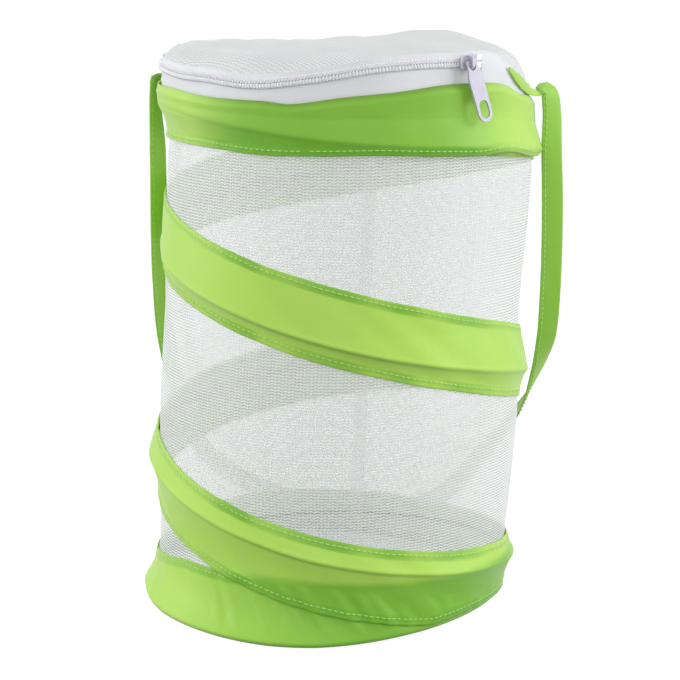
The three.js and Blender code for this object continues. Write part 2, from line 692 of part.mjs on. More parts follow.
function sliderBody() {
  const lipTop = lowerCoilFoot - zipHeight - fitGap;
  const lipFrom = -sliderLength / 2 + 2 * sliderCorner;
  const lipTo = sliderLength / 2 - 2 * sliderCorner;
  const webTo = sliderLength / 2 - webSetback;
  const pieces = [
    platedOut(sliderOutline(), innerFace - sliderPlate, innerFace),
    block(tapeOuter + lipSlot, outerFace + sliderOverlap, lipFrom, lipTo, lipTop - lipHeight, lipTop),
    block(innerFace - sliderOverlap, outerFace + sliderOverlap, webTo - webLength, webTo,
      -webThickness / 2, webThickness / 2),
    bridgeArch(),
  ];
  const plate = toManifold(platedOut(sliderOutline(), outerFace, bridgeFace));
  return fromManifold(pieces.reduce((solid, piece) => solid.add(toManifold(piece)), plate));
}

// The zip lies in the rim's sloping plane, so the slider turns about that plane's own upright
const zipUpright = new THREE.Vector3(-rimRiseRight, -rimRiseBack, wallRadius).normalize();
const zipPlane = new THREE.Group();
zipPlane.position.z = zipHeight + rimRiseMiddle;
zipPlane.quaternion.setFromUnitVectors(new THREE.Vector3(0, 0, 1), zipUpright);
cage.add(zipPlane);

const sliderGroup = new THREE.Group();
sliderGroup.rotation.z = bearingAngle(sliderBearing - 90);
zipPlane.add(sliderGroup);
addPiece('zip_slider_body', sliderBody(), paleEnamel, sliderGroup);

// Pull tab: hangs from the bridge by the bar over its eye
const tabAxisOut = bridgeFace + bridgeHollow / 2;
const tabSwingReach = Math.hypot(tabBar, tabThickness) / 2
  + (bridgeWidth / 2) * Math.sin(bearingAngle(tabLean));
const tabAxisUp = bridgeSpan / 2 - tabSwingReach - fitGap;

function ovalHole(low, high, width) {
  const radius = width / 2;
  const hole = new THREE.Path();
  hole.absarc(0, low + radius, radius, Math.PI, 2 * Math.PI, false);
  hole.absarc(0, high - radius, radius, 0, Math.PI, false);
  hole.closePath();
  return hole;
}

function pullTab() {
  const top = tabBar / 2;
  const foot = top - tabLength;
  const [neck, wide] = [tabNeckWidth / 2, tabWidth / 2];
  const eyeEnd = -top - tabEyeLength;
  const shape = new THREE.Shape();
  shape.moveTo(-neck + tabCorner, top);
  shape.quadraticCurveTo(-neck, top, -neck, top - tabCorner);
  shape.lineTo(-neck, eyeEnd);
  shape.lineTo(-wide, eyeEnd - tabShoulder);
  shape.lineTo(-wide, foot + wide);
  shape.absarc(0, foot + wide, wide, Math.PI, 2 * Math.PI, false);
  shape.lineTo(wide, eyeEnd - tabShoulder);
  shape.lineTo(neck, eyeEnd);
  shape.lineTo(neck, top - tabCorner);
  shape.quadraticCurveTo(neck, top, neck - tabCorner, top);
  shape.closePath();
  shape.holes.push(ovalHole(eyeEnd, -top, tabEyeWidth));
  shape.holes.push(ovalHole(foot + tabHoleRim, foot + tabHoleRim + tabHoleLength, tabHoleWidth));
  return platedOut(shape, -tabThickness / 2, tabThickness / 2);
}

const tabGroup = new THREE.Group();
tabGroup.position.set(tabAxisOut, 0, tabAxisUp);
tabGroup.rotation.set(bearingAngle(tabLean), -bearingAngle(tabStandOff), 0, 'YXZ');
sliderGroup.add(tabGroup);
addPiece('zip_pull_tab', pullTab(), paleEnamel, tabGroup);

// Carry strap: a flat strap on a smooth route, turned to face as the table says
function flatStrap(route, faces, width, thickness, steps) {
  const path = new THREE.CatmullRomCurve3(route, false, 'centripetal');
  const facing = new THREE.CatmullRomCurve3(faces, false, 'centripetal');
  const stations = [];
  for (let i = 0; i <= steps; i += 1) {
    const share = path.getUtoTmapping(i / steps);
    const point = path.getPoint(share);
    const along = path.getTangent(share);
    const across = along.clone().cross(facing.getPoint(share)).normalize();
    const out = across.clone().cross(along).normalize();
    const half = (typeof width === 'function' ? width(i / steps) : width) / 2;
    const face = thickness / 2;
    const corners = [[-half, -face], [half, -face], [half, face], [-half, face]];
    stations.push(corners.map(([a, o]) => point.clone().addScaledVector(across, a).addScaledVector(out, o)));
  }
  console.log(`strap route of ${steps} steps: ${path.getLength().toFixed(0)} mm long`);
  return sweptSolid(stations, false);
}

const strapRoute = strapRouteShares.map(([side, back, drop]) => new THREE.Vector3(
  strapReach * side, strapReach * back, strapAxisHeight - strapDrop * drop));
const strapFaces = strapFaceShares.map((direction) => new THREE.Vector3(...direction));
addPiece('carry_strap',
  flatStrap(strapRoute, strapFaces, strapWidth, strapThickness, strapSteps), greenCloth);

// Strap ends: each comes out over the top band's edge, with its raw tail standing up on the rim tape
function strapEnd(side) {
  const tail = tapeOuter + 2 * fitGap + strapEndThickness / 2;
  const [low, high] = [strapAxisHeight, strapAxisHeight + strapTailRise];
  const lean = -side * strapTailLean;
  const route = [
    [tail, lean, high],
    [tail, lean / 2, (low + high) / 2],
    [tail, 0, low + 2 * strapRootBend],
    [tail, 0, low + strapRootBend],
    [tail + strapRootBend, 0, low],
    [strapRootReach, 0, low],
  ].map(([x, y, z]) => new THREE.Vector3(side * x, side * y, z));
  const faces = [[side, 0, 0], [side, 0, 0], [side, 0, 0], [side, 0, 0.5], [0, 0, 1], [0, 0, 1]]
    .map((direction) => new THREE.Vector3(...direction));
  const width = (share) => THREE.MathUtils.lerp(strapTailWidth, strapWidth, smooth(share));
  return flatStrap(route, faces, width, strapEndThickness, strapEndSteps);
}
addPiece('strap_end_right', strapEnd(1), greenCloth);
addPiece('strap_end_left', strapEnd(-1), greenCloth);

// Joint places, for the record
const metres = (point) => point.toArray().map((v) => (v / 1000).toFixed(6)).join(', ');
const unit = (direction) => direction.normalize().toArray().map((v) => v.toFixed(6)).join(', ');
const zipMiddle = foldLine(zipMiddleBearing);
const hingeMiddle = new THREE.Vector3(zipMiddle.x * hingeReach, zipMiddle.y * hingeReach, hingeHeight);
hingeMiddle.z += planeRise(hingeMiddle.x, hingeMiddle.y);
const hingeSlope = (rimRiseRight * zipMiddle.y - rimRiseBack * zipMiddle.x) / wallRadius;
console.log(`lid hinge at ${metres(hingeMiddle)}`,
  `axis ${unit(new THREE.Vector3(zipMiddle.y, -zipMiddle.x, hingeSlope))}`);
console.log(`zip plane at ${metres(zipPlane.position)} axis ${unit(zipUpright.clone().negate())}`,
  `slider from bearing ${sliderBearing.toFixed(2)} to ${sliderOpenBearing.toFixed(2)}`);
cage.updateMatrixWorld(true);
const tabAxis = new THREE.Vector3(0, -1, 0).transformDirection(sliderGroup.matrixWorld);
console.log(`tab hinge at ${metres(tabGroup.getWorldPosition(new THREE.Vector3()))} axis ${unit(tabAxis)}`);
console.log(`strap hinge at ${metres(new THREE.Vector3(0, 0, strapAxisHeight))}`);

export default cage;
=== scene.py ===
"""Looks of the pop-up butterfly cage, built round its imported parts.

The cage stands on its floor at the origin, with +Z up and its front towards -Y. A bearing is an angle in
degrees round the cage, from the front towards +X. Sizes in the classes are millimetres, and turn to metres
where a mesh or a light is made.
"""

import logging
import math
from dataclasses import dataclass, field
from enum import Enum
from typing import Any

import bpy
import numpy as np
from mathutils import Matrix, Vector


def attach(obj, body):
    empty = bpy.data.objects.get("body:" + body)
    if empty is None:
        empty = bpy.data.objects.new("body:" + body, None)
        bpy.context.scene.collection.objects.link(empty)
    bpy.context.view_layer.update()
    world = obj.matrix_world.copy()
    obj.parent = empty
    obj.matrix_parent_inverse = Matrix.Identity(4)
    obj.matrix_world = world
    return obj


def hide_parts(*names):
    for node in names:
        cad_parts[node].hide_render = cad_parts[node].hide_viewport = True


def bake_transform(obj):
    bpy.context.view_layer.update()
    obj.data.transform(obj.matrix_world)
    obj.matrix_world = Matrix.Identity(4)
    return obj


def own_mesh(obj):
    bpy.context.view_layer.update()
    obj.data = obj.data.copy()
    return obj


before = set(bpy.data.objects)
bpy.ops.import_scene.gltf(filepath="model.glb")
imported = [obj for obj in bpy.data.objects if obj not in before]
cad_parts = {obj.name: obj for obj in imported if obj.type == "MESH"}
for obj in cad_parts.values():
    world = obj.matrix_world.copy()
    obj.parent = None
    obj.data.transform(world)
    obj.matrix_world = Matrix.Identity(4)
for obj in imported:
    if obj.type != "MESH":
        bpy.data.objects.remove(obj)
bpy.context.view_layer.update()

LOG = logging.getLogger("butterfly_cage")
MM = 0.001
# Each set of random waves adds its own number to this one
SEED = 20


class Body(Enum):
    """Bodies of the cage that pieces ride on."""

    BASE = "base"
    TOP_RING = "top_ring"
    LID = "lid"
    SLIDER = "zip_slider"
    TAB = "pull_tab"
    STRAP = "carry_strap"


class Slot(Enum):
    """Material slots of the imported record."""

    GREEN = "green_cloth"
    NET = "white_mesh"
    TAPE = "white_cloth"
    NYLON = "white_nylon"
    SPRING = "spring_steel"
    CRIMP = "crimp_metal"
    ENAMEL = "pale_enamel"


def smooth(share: Any) -> Any:
    """Eases a share from 0 to 1, and holds it outside."""
    held = np.clip(share, 0.0, 1.0)
    return held * held * (3 - 2 * held)


def near(distance: Any, width: float) -> Any:
    """Gives 1 on a line and falls off with the distance from it."""
    return np.exp(-((distance / width) ** 2))


def from_front(bearing: Any) -> Any:
    """Turns a bearing to the same one between -180 and 180."""
    return np.mod(bearing + 180, 360) - 180


def bump(bearing: Any, middle: float, spread: float) -> Any:
    """Gives 1 at a bearing and eases to 0 a spread away on both sides.

    Args:
        bearing: Where it is asked, in degrees.
        middle: Bearing of the top.
        spread: Degrees from the top to the foot.

    Returns:
        The share at each bearing.
    """
    return smooth(1 - np.abs(from_front(np.asarray(bearing, float) - middle)) / spread)


def place(radius: Any, bearing: Any, height: Any) -> np.ndarray:
    """Turns distances from the cage's axis, bearings and heights into points.

    Args:
        radius: Distance from the axis.
        bearing: Degrees from the front towards +X.
        height: Height over the ground.

    Returns:
        Points in an array whose last side is x, y, z.
    """
    angle = np.radians(bearing)
    parts = np.broadcast_arrays(radius * np.sin(angle), -radius * np.cos(angle), height)
    return np.stack([np.asarray(part, float) for part in parts], axis=-1)


def hermite(ends: tuple[Any, Any], slopes: tuple[Any, Any], span: Any, share: Any) -> Any:
    """Runs a smooth curve from one knot to the next.

    Args:
        ends: Values at the two knots.
        slopes: Slopes at the two knots.
        span: Distance between the knots.
        share: Where it is asked, from 0 at the first knot to 1 at the second.

    Returns:
        The value there.
    """
    rest = 1 - share
    return (
        ends[0] * rest * rest * (1 + 2 * share)
        + ends[1] * share * share * (3 - 2 * share)
        + slopes[0] * span * share * rest * rest
        - slopes[1] * span * share * share * rest
    )


@dataclass(frozen=True)
class RoundTable:
    """Values at bearings round the cage, in rising order, with a smooth closed curve through them."""

    places: tuple[tuple[float, float], ...]

    def at(self, bearing: Any) -> Any:
        """Reads the curve.

        Args:
            bearing: Degrees, one or many.

        Returns:
            The value at each bearing.
        """
        knots, values = np.array(self.places, float).T
        turned = np.mod(np.asarray(bearing, float) - knots[0], 360) + knots[0]
        knots = np.concatenate([[knots[-1] - 360], knots, knots[:2] + 360])
        values = np.concatenate([[values[-1]], values, values[:2]])
        slopes = np.gradient(values, knots)
        before = np.clip(np.searchsorted(knots, turned, side="right") - 1, 0, len(knots) - 2)
        after = before + 1
        span = knots[after] - knots[before]
        share = (turned - knots[before]) / span
        return hermite((values[before], values[after]), (slopes[before], slopes[after]), span, share)


@dataclass(frozen=True)
class Stretch:
    """A stretch of bearings that fades in over its rise and out over its fall."""

    start: float
    rise: float
    end: float
    fall: float

    def at(self, bearing: Any) -> Any:
        """Gives 1 on the stretch and 0 away from it."""
        seen = from_front(bearing)
        return smooth((seen - self.start) / self.rise) * smooth((self.end - seen) / self.fall)


@dataclass(frozen=True)
class Ripple:
    """Waves round the cage with random sizes and phases, so that no two stretches look alike."""

    waves: tuple[int, ...]
    depth: float
    seed: int
    least_size: float = 0.5
    most_size: float = 1.0

    def at(self, degrees: Any) -> Any:
        """Adds up the waves.

        Args:
            degrees: Where it is asked.

        Returns:
            Values of about minus the depth to the depth.
        """
        rng = np.random.default_rng(self.seed)
        total = np.zeros(np.shape(degrees))
        for count in self.waves:
            size = rng.uniform(self.least_size, self.most_size)
            phase = rng.uniform(0, 360)
            total = total + size * np.sin(np.radians(count * np.asarray(degrees) + phase))
        return self.depth * (total / ((self.least_size + self.most_size) / 2 * len(self.waves)))


def along_turns(shares: tuple[float, ...], turns: Any, rows_per_turn: int = 4) -> Any:
    """Reads a table that has one row for each quarter turn of the spiral.

    Args:
        shares: The rows.
        turns: Turns from the spiral's head, one or many.
        rows_per_turn: Rows in one turn.

    Returns:
        The value on a smooth curve through the rows.
    """
    rows = np.asarray(shares, float)
    spot = np.clip(np.asarray(turns, float) * rows_per_turn, 0, len(rows) - 1)
    here = np.minimum(spot.astype(int), len(rows) - 2)
    first, start, end, last = (rows[np.clip(here + step, 0, len(rows) - 1)] for step in (-1, 0, 1, 2))
    return hermite((start, end), ((end - first) / 2, (last - start) / 2), 1.0, spot - here)


@dataclass(frozen=True)
class CageForm:
    """Shape that the wires give the cage: wall, spiral, and the bent rim and foot."""

    wall_radius: float = 98.8
    foot_flare: float = 1.0
    flare_height: float = 14.0
    lid_seam: float = 302.0
    band_top: float = 283.5
    band_low: float = 253.0
    ring_drop: float = 4.0
    ring_radius: float = 101.35
    wire_radius: float = 0.75
    wire_sides: int = 8
    zip_middle: float = 293.2
    spiral_head: float = 274.0
    spiral_foot: float = 7.5
    spiral_turns: float = 3.0
    spiral_start: float = -80.0
    spiral_bulge: float = 1.6
    pressed_turn: float = 1.0
    pressed_depth: float = 3.0
    pressed_spread: float = 0.1
    bulge_run: float = 0.5
    band_width: float = 40.0
    # At each quarter turn from the head: the wire's share of the height, and the band's share above the wire
    height_shares: tuple[float, ...] = (
        1, 0.945, 0.919, 0.828, 0.711, 0.563, 0.463, 0.376, 0.274, 0.14, 0.07, 0.023, 0,
    )
    above_shares: tuple[float, ...] = (1, 0.97, 0.85, 0.6, 0.68, 0.73, 0.6, 0.5, 0.36, 0.3, 0.27, 0.27, 0.27)
    rise_middle: float = 6.0
    rise_right: float = 7.0
    rise_back: float = 6.0
    hump_rise: float = 8.0
    hump_bearing: float = 155.0
    hump_spread: float = 60.0
    dip_rise: float = -3.0
    dip_bearing: float = 228.0
    dip_spread: float = 35.0
    settle_reach: float = 40.0
    fold_reach: float = 39.517
    fold_bearing: float = -13.5
    zip_slack: RoundTable = RoundTable((
        (-100, 0.0), (-76, 0.0), (-60, -0.6), (-46, -2.4), (-34, -3.2), (-20, -5.6), (-13, -5.8), (-6, -4.8),
        (6, -2.6), (17, -0.2), (28, 0.7), (36, 0.6), (42, 0.1), (50, 0.0), (60, -1.2), (68, -2.8), (76, -5.0),
        (85, -9.0), (92, -11.6), (99, -12.0), (105, -8.5), (110, -4.8), (118, -2.0), (128, -0.6), (145, 0.0),
    ))
    band_slack: RoundTable = RoundTable((
        (-100, 0.0), (-74, -0.2), (-50, -0.4), (-39, -2.1), (-21, -3.9), (-13, -4.5), (-5, -6.1), (1, -5.3),
        (8, -4.0), (26, -2.4), (40, -0.8), (48, -1.2), (56, -1.8), (67, 0.0), (80, -0.6), (99, -3.4),
        (115, -1.0), (140, 0.0), (220, 0.0),
    ))
    # By height: how far the slack wall sways to the right, and how far it swells all round
    sway: tuple[tuple[float, float], ...] = (
        (0, 0.0), (10, 1.2), (25, 2.6), (60, 2.8), (110, 3.4), (165, 3.0), (190, 3.1), (220, 4.0), (242, 4.3),
        (256, 4.4), (266, 2.2), (275, 0.3), (279, 0.0),
    )
    swell: tuple[tuple[float, float], ...] = (
        (0, 0.0), (12, -0.8), (30, -1.6), (42, -1.5), (58, -0.6), (80, 0.3), (107, 0.8), (135, -0.1),
        (163, -1.4), (186, -0.7), (218, 0.1), (240, 0.0), (256, -0.8), (268, 0.0),
    )
    sway_bearing: float = 100.0
    inset_depth: float = 1.8
    inset_bearing: float = -100.0
    inset_spread: float = 50.0
    band_foot_wave: RoundTable = RoundTable((
        (-90, -0.5), (-53, -0.6), (-30, -1.2), (-14, -2.2), (4, -1.0), (21, 0.6), (40, 0.6), (54, 0.9),
        (60, 2.2), (67, 1.6), (74, -0.6), (84, -2.2), (100, -1.0), (140, 0.0), (220, 0.0),
    ))

    def wall_at(self, height: Any) -> Any:
        """Radius of the net at a height, before its folds."""
        return self.wall_radius + self.foot_flare * smooth((self.flare_height - height) / self.flare_height)

    def lean_at(self, bearing: Any, height: Any) -> Any:
        """How far the slack wall stands in or out, because the cage leans a little and its net swells.

        Args:
            bearing: Degrees.
            height: Height over the ground.

        Returns:
            Millimetres to add to a radius.
        """
        levels, shifts = np.array(self.sway).T
        rungs, swells = np.array(self.swell).T
        towards = np.cos(np.radians(np.asarray(bearing, float) - self.sway_bearing))
        return np.interp(height, levels, shifts) * towards + np.interp(height, rungs, swells)

    def rim_inset(self, bearing: Any) -> Any:
        """How far the rim and its ring are pressed in at the left, where the strap draws on them."""
        return self.inset_depth * bump(bearing, self.inset_bearing, self.inset_spread)

    def spiral_height(self, turns: Any) -> Any:
        """Height of the spiral wire at a number of turns from its head."""
        return self.spiral_foot + (self.spiral_head - self.spiral_foot) * self.height_share(turns)

    def height_share(self, turns: Any) -> Any:
        """Share of the spiral's height that is left at a number of turns from its head."""
        return along_turns(self.height_shares, turns)

    def spiral_radius(self, turns: Any) -> Any:
        """Distance of the spiral wire from the axis, before the cage's lean.

        Args:
            turns: Turns from the spiral's head.

        Returns:
            The radius.
        """
        swell = smooth(turns / self.bulge_run) * smooth((self.spiral_turns - turns) / self.bulge_run)
        stand_off = self.ring_radius - self.wall_radius
        pressed = self.pressed_depth * smooth(1 - np.abs(turns - self.pressed_turn) / self.pressed_spread)
        return self.wall_at(self.spiral_height(turns)) + stand_off + self.spiral_bulge * swell - pressed

    def spiral_bearing(self, turns: Any) -> Any:
        """Bearing of the spiral wire, which goes on growing past 360."""
        return self.spiral_start + 360 * turns

    def plane_rise(self, x: Any, y: Any) -> Any:
        """Rise of the sloping plane that the zip lies in."""
        return self.rise_middle + (self.rise_right * x + self.rise_back * y) / self.wall_radius

    def rim_rise(self, x: Any, y: Any) -> Any:
        """Rise of the bent rim over a place.

        Args:
            x: Place to the right.
            y: Place to the back.

        Returns:
            Millimetres above the level rim.
        """
        bearing = np.degrees(np.arctan2(x, -y))
        out = place(1.0, self.fold_bearing, 0.0)
        behind = self.fold_reach - (x * out[0] + y * out[1])
        hump = self.hump_rise * bump(bearing, self.hump_bearing, self.hump_spread)
        dip = self.dip_rise * bump(bearing, self.dip_bearing, self.dip_spread)
        rear = (hump + dip) * np.minimum(1, np.hypot(x, y) / self.wall_radius) ** 2
        settled = smooth(behind / self.settle_reach)
        return self.plane_rise(x, y) * (1 - settled) + rear * settled

    def rim_height(self, bearing: Any, level: Any, slack: Any = 0.0) -> Any:
        """Height on the rim of what would lie at a level if the rim weren't bent.

        Args:
            bearing: Degrees.
            level: Height that it would have.
            slack: How far the cloth sags or stands up there.

        Returns:
            The height.
        """
        spot = place(self.wall_radius, bearing, 0.0)
        share = np.clip((level - self.band_low) / (self.spiral_head - self.band_low), 0, 1)
        return level + self.rim_rise(spot[..., 0], spot[..., 1]) * share + slack

    def band_top_at(self, bearing: Any) -> Any:
        """Height of the top band's upper edge."""
        return self.rim_height(bearing, self.band_top, self.band_slack.at(bearing))

    def band_low_at(self, bearing: Any) -> Any:
        """Height of the top band's lower edge."""
        return self.band_low + self.band_foot_wave.at(bearing)

    def zip_at(self, bearing: Any) -> Any:
        """Height of the zip's middle line."""
        return self.rim_height(bearing, self.zip_middle, self.zip_slack.at(bearing))


FORM = CageForm()


def linear(colour: str) -> tuple[float, float, float, float]:
    """Turns an sRGB hex colour to linear light.

    Args:
        colour: Such as #8FD14F.

    Returns:
        Red, green, blue and an alpha of 1.
    """
    channels = [int(colour[i : i + 2], 16) / 255 for i in (1, 3, 5)]
    light = [c / 12.92 if c <= 0.04045 else ((c + 0.055) / 1.055) ** 2.4 for c in channels]
    return (light[0], light[1], light[2], 1.0)


def add(
    tree: bpy.types.NodeTree, kind: str, inputs: dict[Any, Any] | None = None, **settings: Any
) -> bpy.types.Node:
    """Adds a node, with its settings, its values and the links into it.

    Args:
        tree: Node tree that gets the node.
        kind: Blender's name for the node.
        inputs: Values, output sockets, or nodes whose first output is meant, by the input's name or number.
        **settings: Attributes of the node itself.

    Returns:
        The new node.
    """
    node = tree.nodes.new(kind)
    for name, value in settings.items():
        setattr(node, name, value)
    for key, value in (inputs or {}).items():
        if isinstance(value, bpy.types.Node):
            value = value.outputs[0]
        if isinstance(value, bpy.types.NodeSocket):
            tree.links.new(value, node.inputs[key])
        else:
            node.inputs[key].default_value = value
    return node


# Sockets of the Mix node when it mixes colours
MIX_SHARE, MIX_FIRST, MIX_SECOND, MIX_COLOUR = 0, 6, 7, 2


def wave_scale(pitch: float) -> float:
    """Gives the wave texture's scale for lines a pitch apart, as it turns by 20 radians in each unit."""
    return math.tau / (20 * pitch * MM)


@dataclass(frozen=True)
class Finish:
    """A surface that pieces share. Each kind says how its nodes are made."""

    name: str = "finish"

    def material(self) -> bpy.types.Material:
        """Gives the Blender material, made the first time that it is asked for.

        Returns:
            The material.
        """
        made = bpy.data.materials.get(self.name)
        if made is None:
            made = bpy.data.materials.new(self.name)
            made.use_nodes = True
            made.node_tree.nodes.clear()
            surface = self.surface(made.node_tree)
            add(made.node_tree, "ShaderNodeOutputMaterial", {"Surface": surface})
        return made

    def surface(self, tree: bpy.types.NodeTree) -> bpy.types.NodeSocket:
        """Makes the shader. Each finish has its own."""
        raise NotImplementedError


@dataclass(frozen=True)
class PolyesterTaffeta(Finish):
    """Green polyester taffeta, plain woven and calendered.

    The eye sees a satin, slightly see-through green that turns deeper where two layers lie on each other, and
    a thin olive line where the wire stands behind the cloth. The deeper green is also painted as shade across
    the front of the bands, and the olive as painted shadow and shade in creases, stitch grooves and under
    edges.
    """

    name: str = "green_polyester_taffeta"
    single: str = "#B7E45F"
    # Green of two layers, also used as painted shade across the front
    double: str = "#74B82F"
    # Olive of the wire seen through the cloth, also used as painted shadow and shade in creases, grooves and
    # under edges
    over_wire: str = "#5F7F1E"
    cloud: float = 28.57
    cloud_depth: float = 0.12
    weave_pitch: float = 5.655
    weave_depth: float = 0.08
    roughness: float = 0.5
    specular: float = 0.35
    sheen: float = 0.25
    sheen_roughness: float = 0.4

    def surface(self, tree: bpy.types.NodeTree) -> bpy.types.NodeSocket:
        """Mixes the colours of one layer, of two and of the wire behind them, and adds the weave's relief.

        The real threads are 0.3 mm apart, too fine for the render, and are drawn as a soft 5.7 mm relief. The
        colour of two layers also serves as painted shade, and the olive of the wire as painted shadow and
        shade.

        Args:
            tree: Node tree of the material.

        Returns:
            The shader's output.
        """
        coords = add(tree, "ShaderNodeUVMap", uv_map="cloth").outputs[0]
        # The layers attribute carries double cloth and painted shade; the wire attribute carries the wire
        # seen through and painted shade
        layers = add(tree, "ShaderNodeAttribute", attribute_name="layers")
        wire = add(tree, "ShaderNodeAttribute", attribute_name="wire")
        clouds = add(tree, "ShaderNodeTexNoise", {
            "Vector": coords, "Scale": 1 / (self.cloud * MM), "Detail": 3.0,
        })
        spread = add(tree, "ShaderNodeMapRange", {
            "Value": clouds, "To Min": -self.cloud_depth, "To Max": self.cloud_depth,
        })
        depth = add(tree, "ShaderNodeMath", {0: layers.outputs["Fac"], 1: spread}, operation="ADD",
                    use_clamp=True)
        cloth = add(tree, "ShaderNodeMix", {
            MIX_SHARE: depth, MIX_FIRST: linear(self.single), MIX_SECOND: linear(self.double),
        }, data_type="RGBA")
        colour = add(tree, "ShaderNodeMix", {
            MIX_SHARE: wire.outputs["Fac"], MIX_FIRST: cloth.outputs[MIX_COLOUR],
            MIX_SECOND: linear(self.over_wire),
        }, data_type="RGBA")
        threads = {}
        for number, direction in enumerate("XY"):
            wave = add(tree, "ShaderNodeTexWave", {"Vector": coords, "Scale": wave_scale(self.weave_pitch)},
                       bands_direction=direction)
            threads[number] = wave.outputs[1]
        weave = add(tree, "ShaderNodeMath", threads, operation="MULTIPLY")
        relief = add(tree, "ShaderNodeBump", {
            "Strength": 0.35, "Distance": self.weave_depth * MM, "Height": weave,
        })
        shader = add(tree, "ShaderNodeBsdfPrincipled", {
            "Base Color": colour.outputs[MIX_COLOUR], "Roughness": self.roughness, "Sheen Weight": self.sheen,
            "Sheen Roughness": self.sheen_roughness, "Specular IOR Level": self.specular, "Normal": relief,
        })
        return shader.outputs[0]


@dataclass(frozen=True)
class PolyesterNet(Finish):
    """White polyester net, warp knitted.

    The eye sees plain pale grey-white where white lies behind it, zigzag rows of small holes where something
    green does, and a soft glow where the light falls on it from behind.
    """

    name: str = "white_polyester_net"
    thread: str = "#FBFCFE"
    thread_shade: str = "#FAFBFC"
    wale_pitch: float = 1.9
    course_pitch: float = 1.55
    hole_width_share: float = 0.95
    hole_height_share: float = 0.52
    hole_start: float = 1.25
    hole_full: float = 0.55
    zigzag_share: float = 0.4
    hole_alpha: float = 0.36
    thread_alpha: float = 0.97
    glow_share: float = 0.4
    cloud: float = 40.0
    hole_depth: float = 0.2
    roughness: float = 0.7
    specular: float = 0.2
    slant: float = 0.0

    def surface(self, tree: bpy.types.NodeTree) -> bpy.types.NodeSocket:
        """Cuts the holes by alpha and lets light through the threads.

        The real rows are about 1 mm apart and are drawn coarser, as the photograph shows them.

        Args:
            tree: Node tree of the material.

        Returns:
            The shader's output.
        """
        coords = add(tree, "ShaderNodeUVMap", uv_map="cloth")
        turned = add(tree, "ShaderNodeVectorRotate", {"Vector": coords, "Angle": self.slant},
                     rotation_type="Z_AXIS")
        parts = add(tree, "ShaderNodeSeparateXYZ", {0: turned})
        wale = add(tree, "ShaderNodeMath", {0: parts, 1: self.wale_pitch * MM}, operation="DIVIDE")
        course = add(tree, "ShaderNodeMath", {0: parts.outputs[1], 1: self.course_pitch * MM},
                     operation="DIVIDE")
        swing = add(tree, "ShaderNodeMath", {0: wale, 1: 1.0}, operation="PINGPONG")
        row = add(tree, "ShaderNodeMath", {0: swing, 1: self.zigzag_share, 2: course},
                  operation="MULTIPLY_ADD")
        sides = {}
        holes = ((wale, self.hole_width_share), (row, self.hole_height_share))
        for number, (line, share) in enumerate(holes):
            part = add(tree, "ShaderNodeMath", {0: line}, operation="FRACT")
            centred = add(tree, "ShaderNodeMath", {0: part, 1: 0.5}, operation="SUBTRACT")
            away = add(tree, "ShaderNodeMath", {0: centred}, operation="ABSOLUTE")
            sides[number] = add(tree, "ShaderNodeMath", {0: away, 1: share / 2}, operation="DIVIDE")
        edge = add(tree, "ShaderNodeMath", sides, operation="MAXIMUM")
        hole = add(tree, "ShaderNodeMapRange", {
            "Value": edge, "From Min": self.hole_start, "From Max": self.hole_full,
        }, interpolation_type="SMOOTHSTEP")
        alpha = add(tree, "ShaderNodeMapRange", {
            "Value": hole, "To Min": self.thread_alpha, "To Max": self.hole_alpha,
        })
        relief = add(tree, "ShaderNodeBump", {
            "Strength": 0.25, "Distance": self.hole_depth * MM, "Height": hole,
        }, invert=True)
        clouds = add(tree, "ShaderNodeTexNoise", {
            "Vector": coords, "Scale": 1 / (self.cloud * MM), "Detail": 2.0,
        })
        colour = add(tree, "ShaderNodeMix", {
            MIX_SHARE: clouds, MIX_FIRST: linear(self.thread), MIX_SECOND: linear(self.thread_shade),
        }, data_type="RGBA")
        front = add(tree, "ShaderNodeBsdfPrincipled", {
            "Base Color": colour.outputs[MIX_COLOUR], "Roughness": self.roughness,
            "Specular IOR Level": self.specular, "Normal": relief,
        })
        through = add(tree, "ShaderNodeBsdfTranslucent", {"Color": colour.outputs[MIX_COLOUR]})
        thread = add(tree, "ShaderNodeMixShader", {0: self.glow_share, 1: front, 2: through})
        gap = add(tree, "ShaderNodeBsdfTransparent")
        shader = add(tree, "ShaderNodeMixShader", {0: alpha, 1: gap, 2: thread})
        return shader.outputs[0]


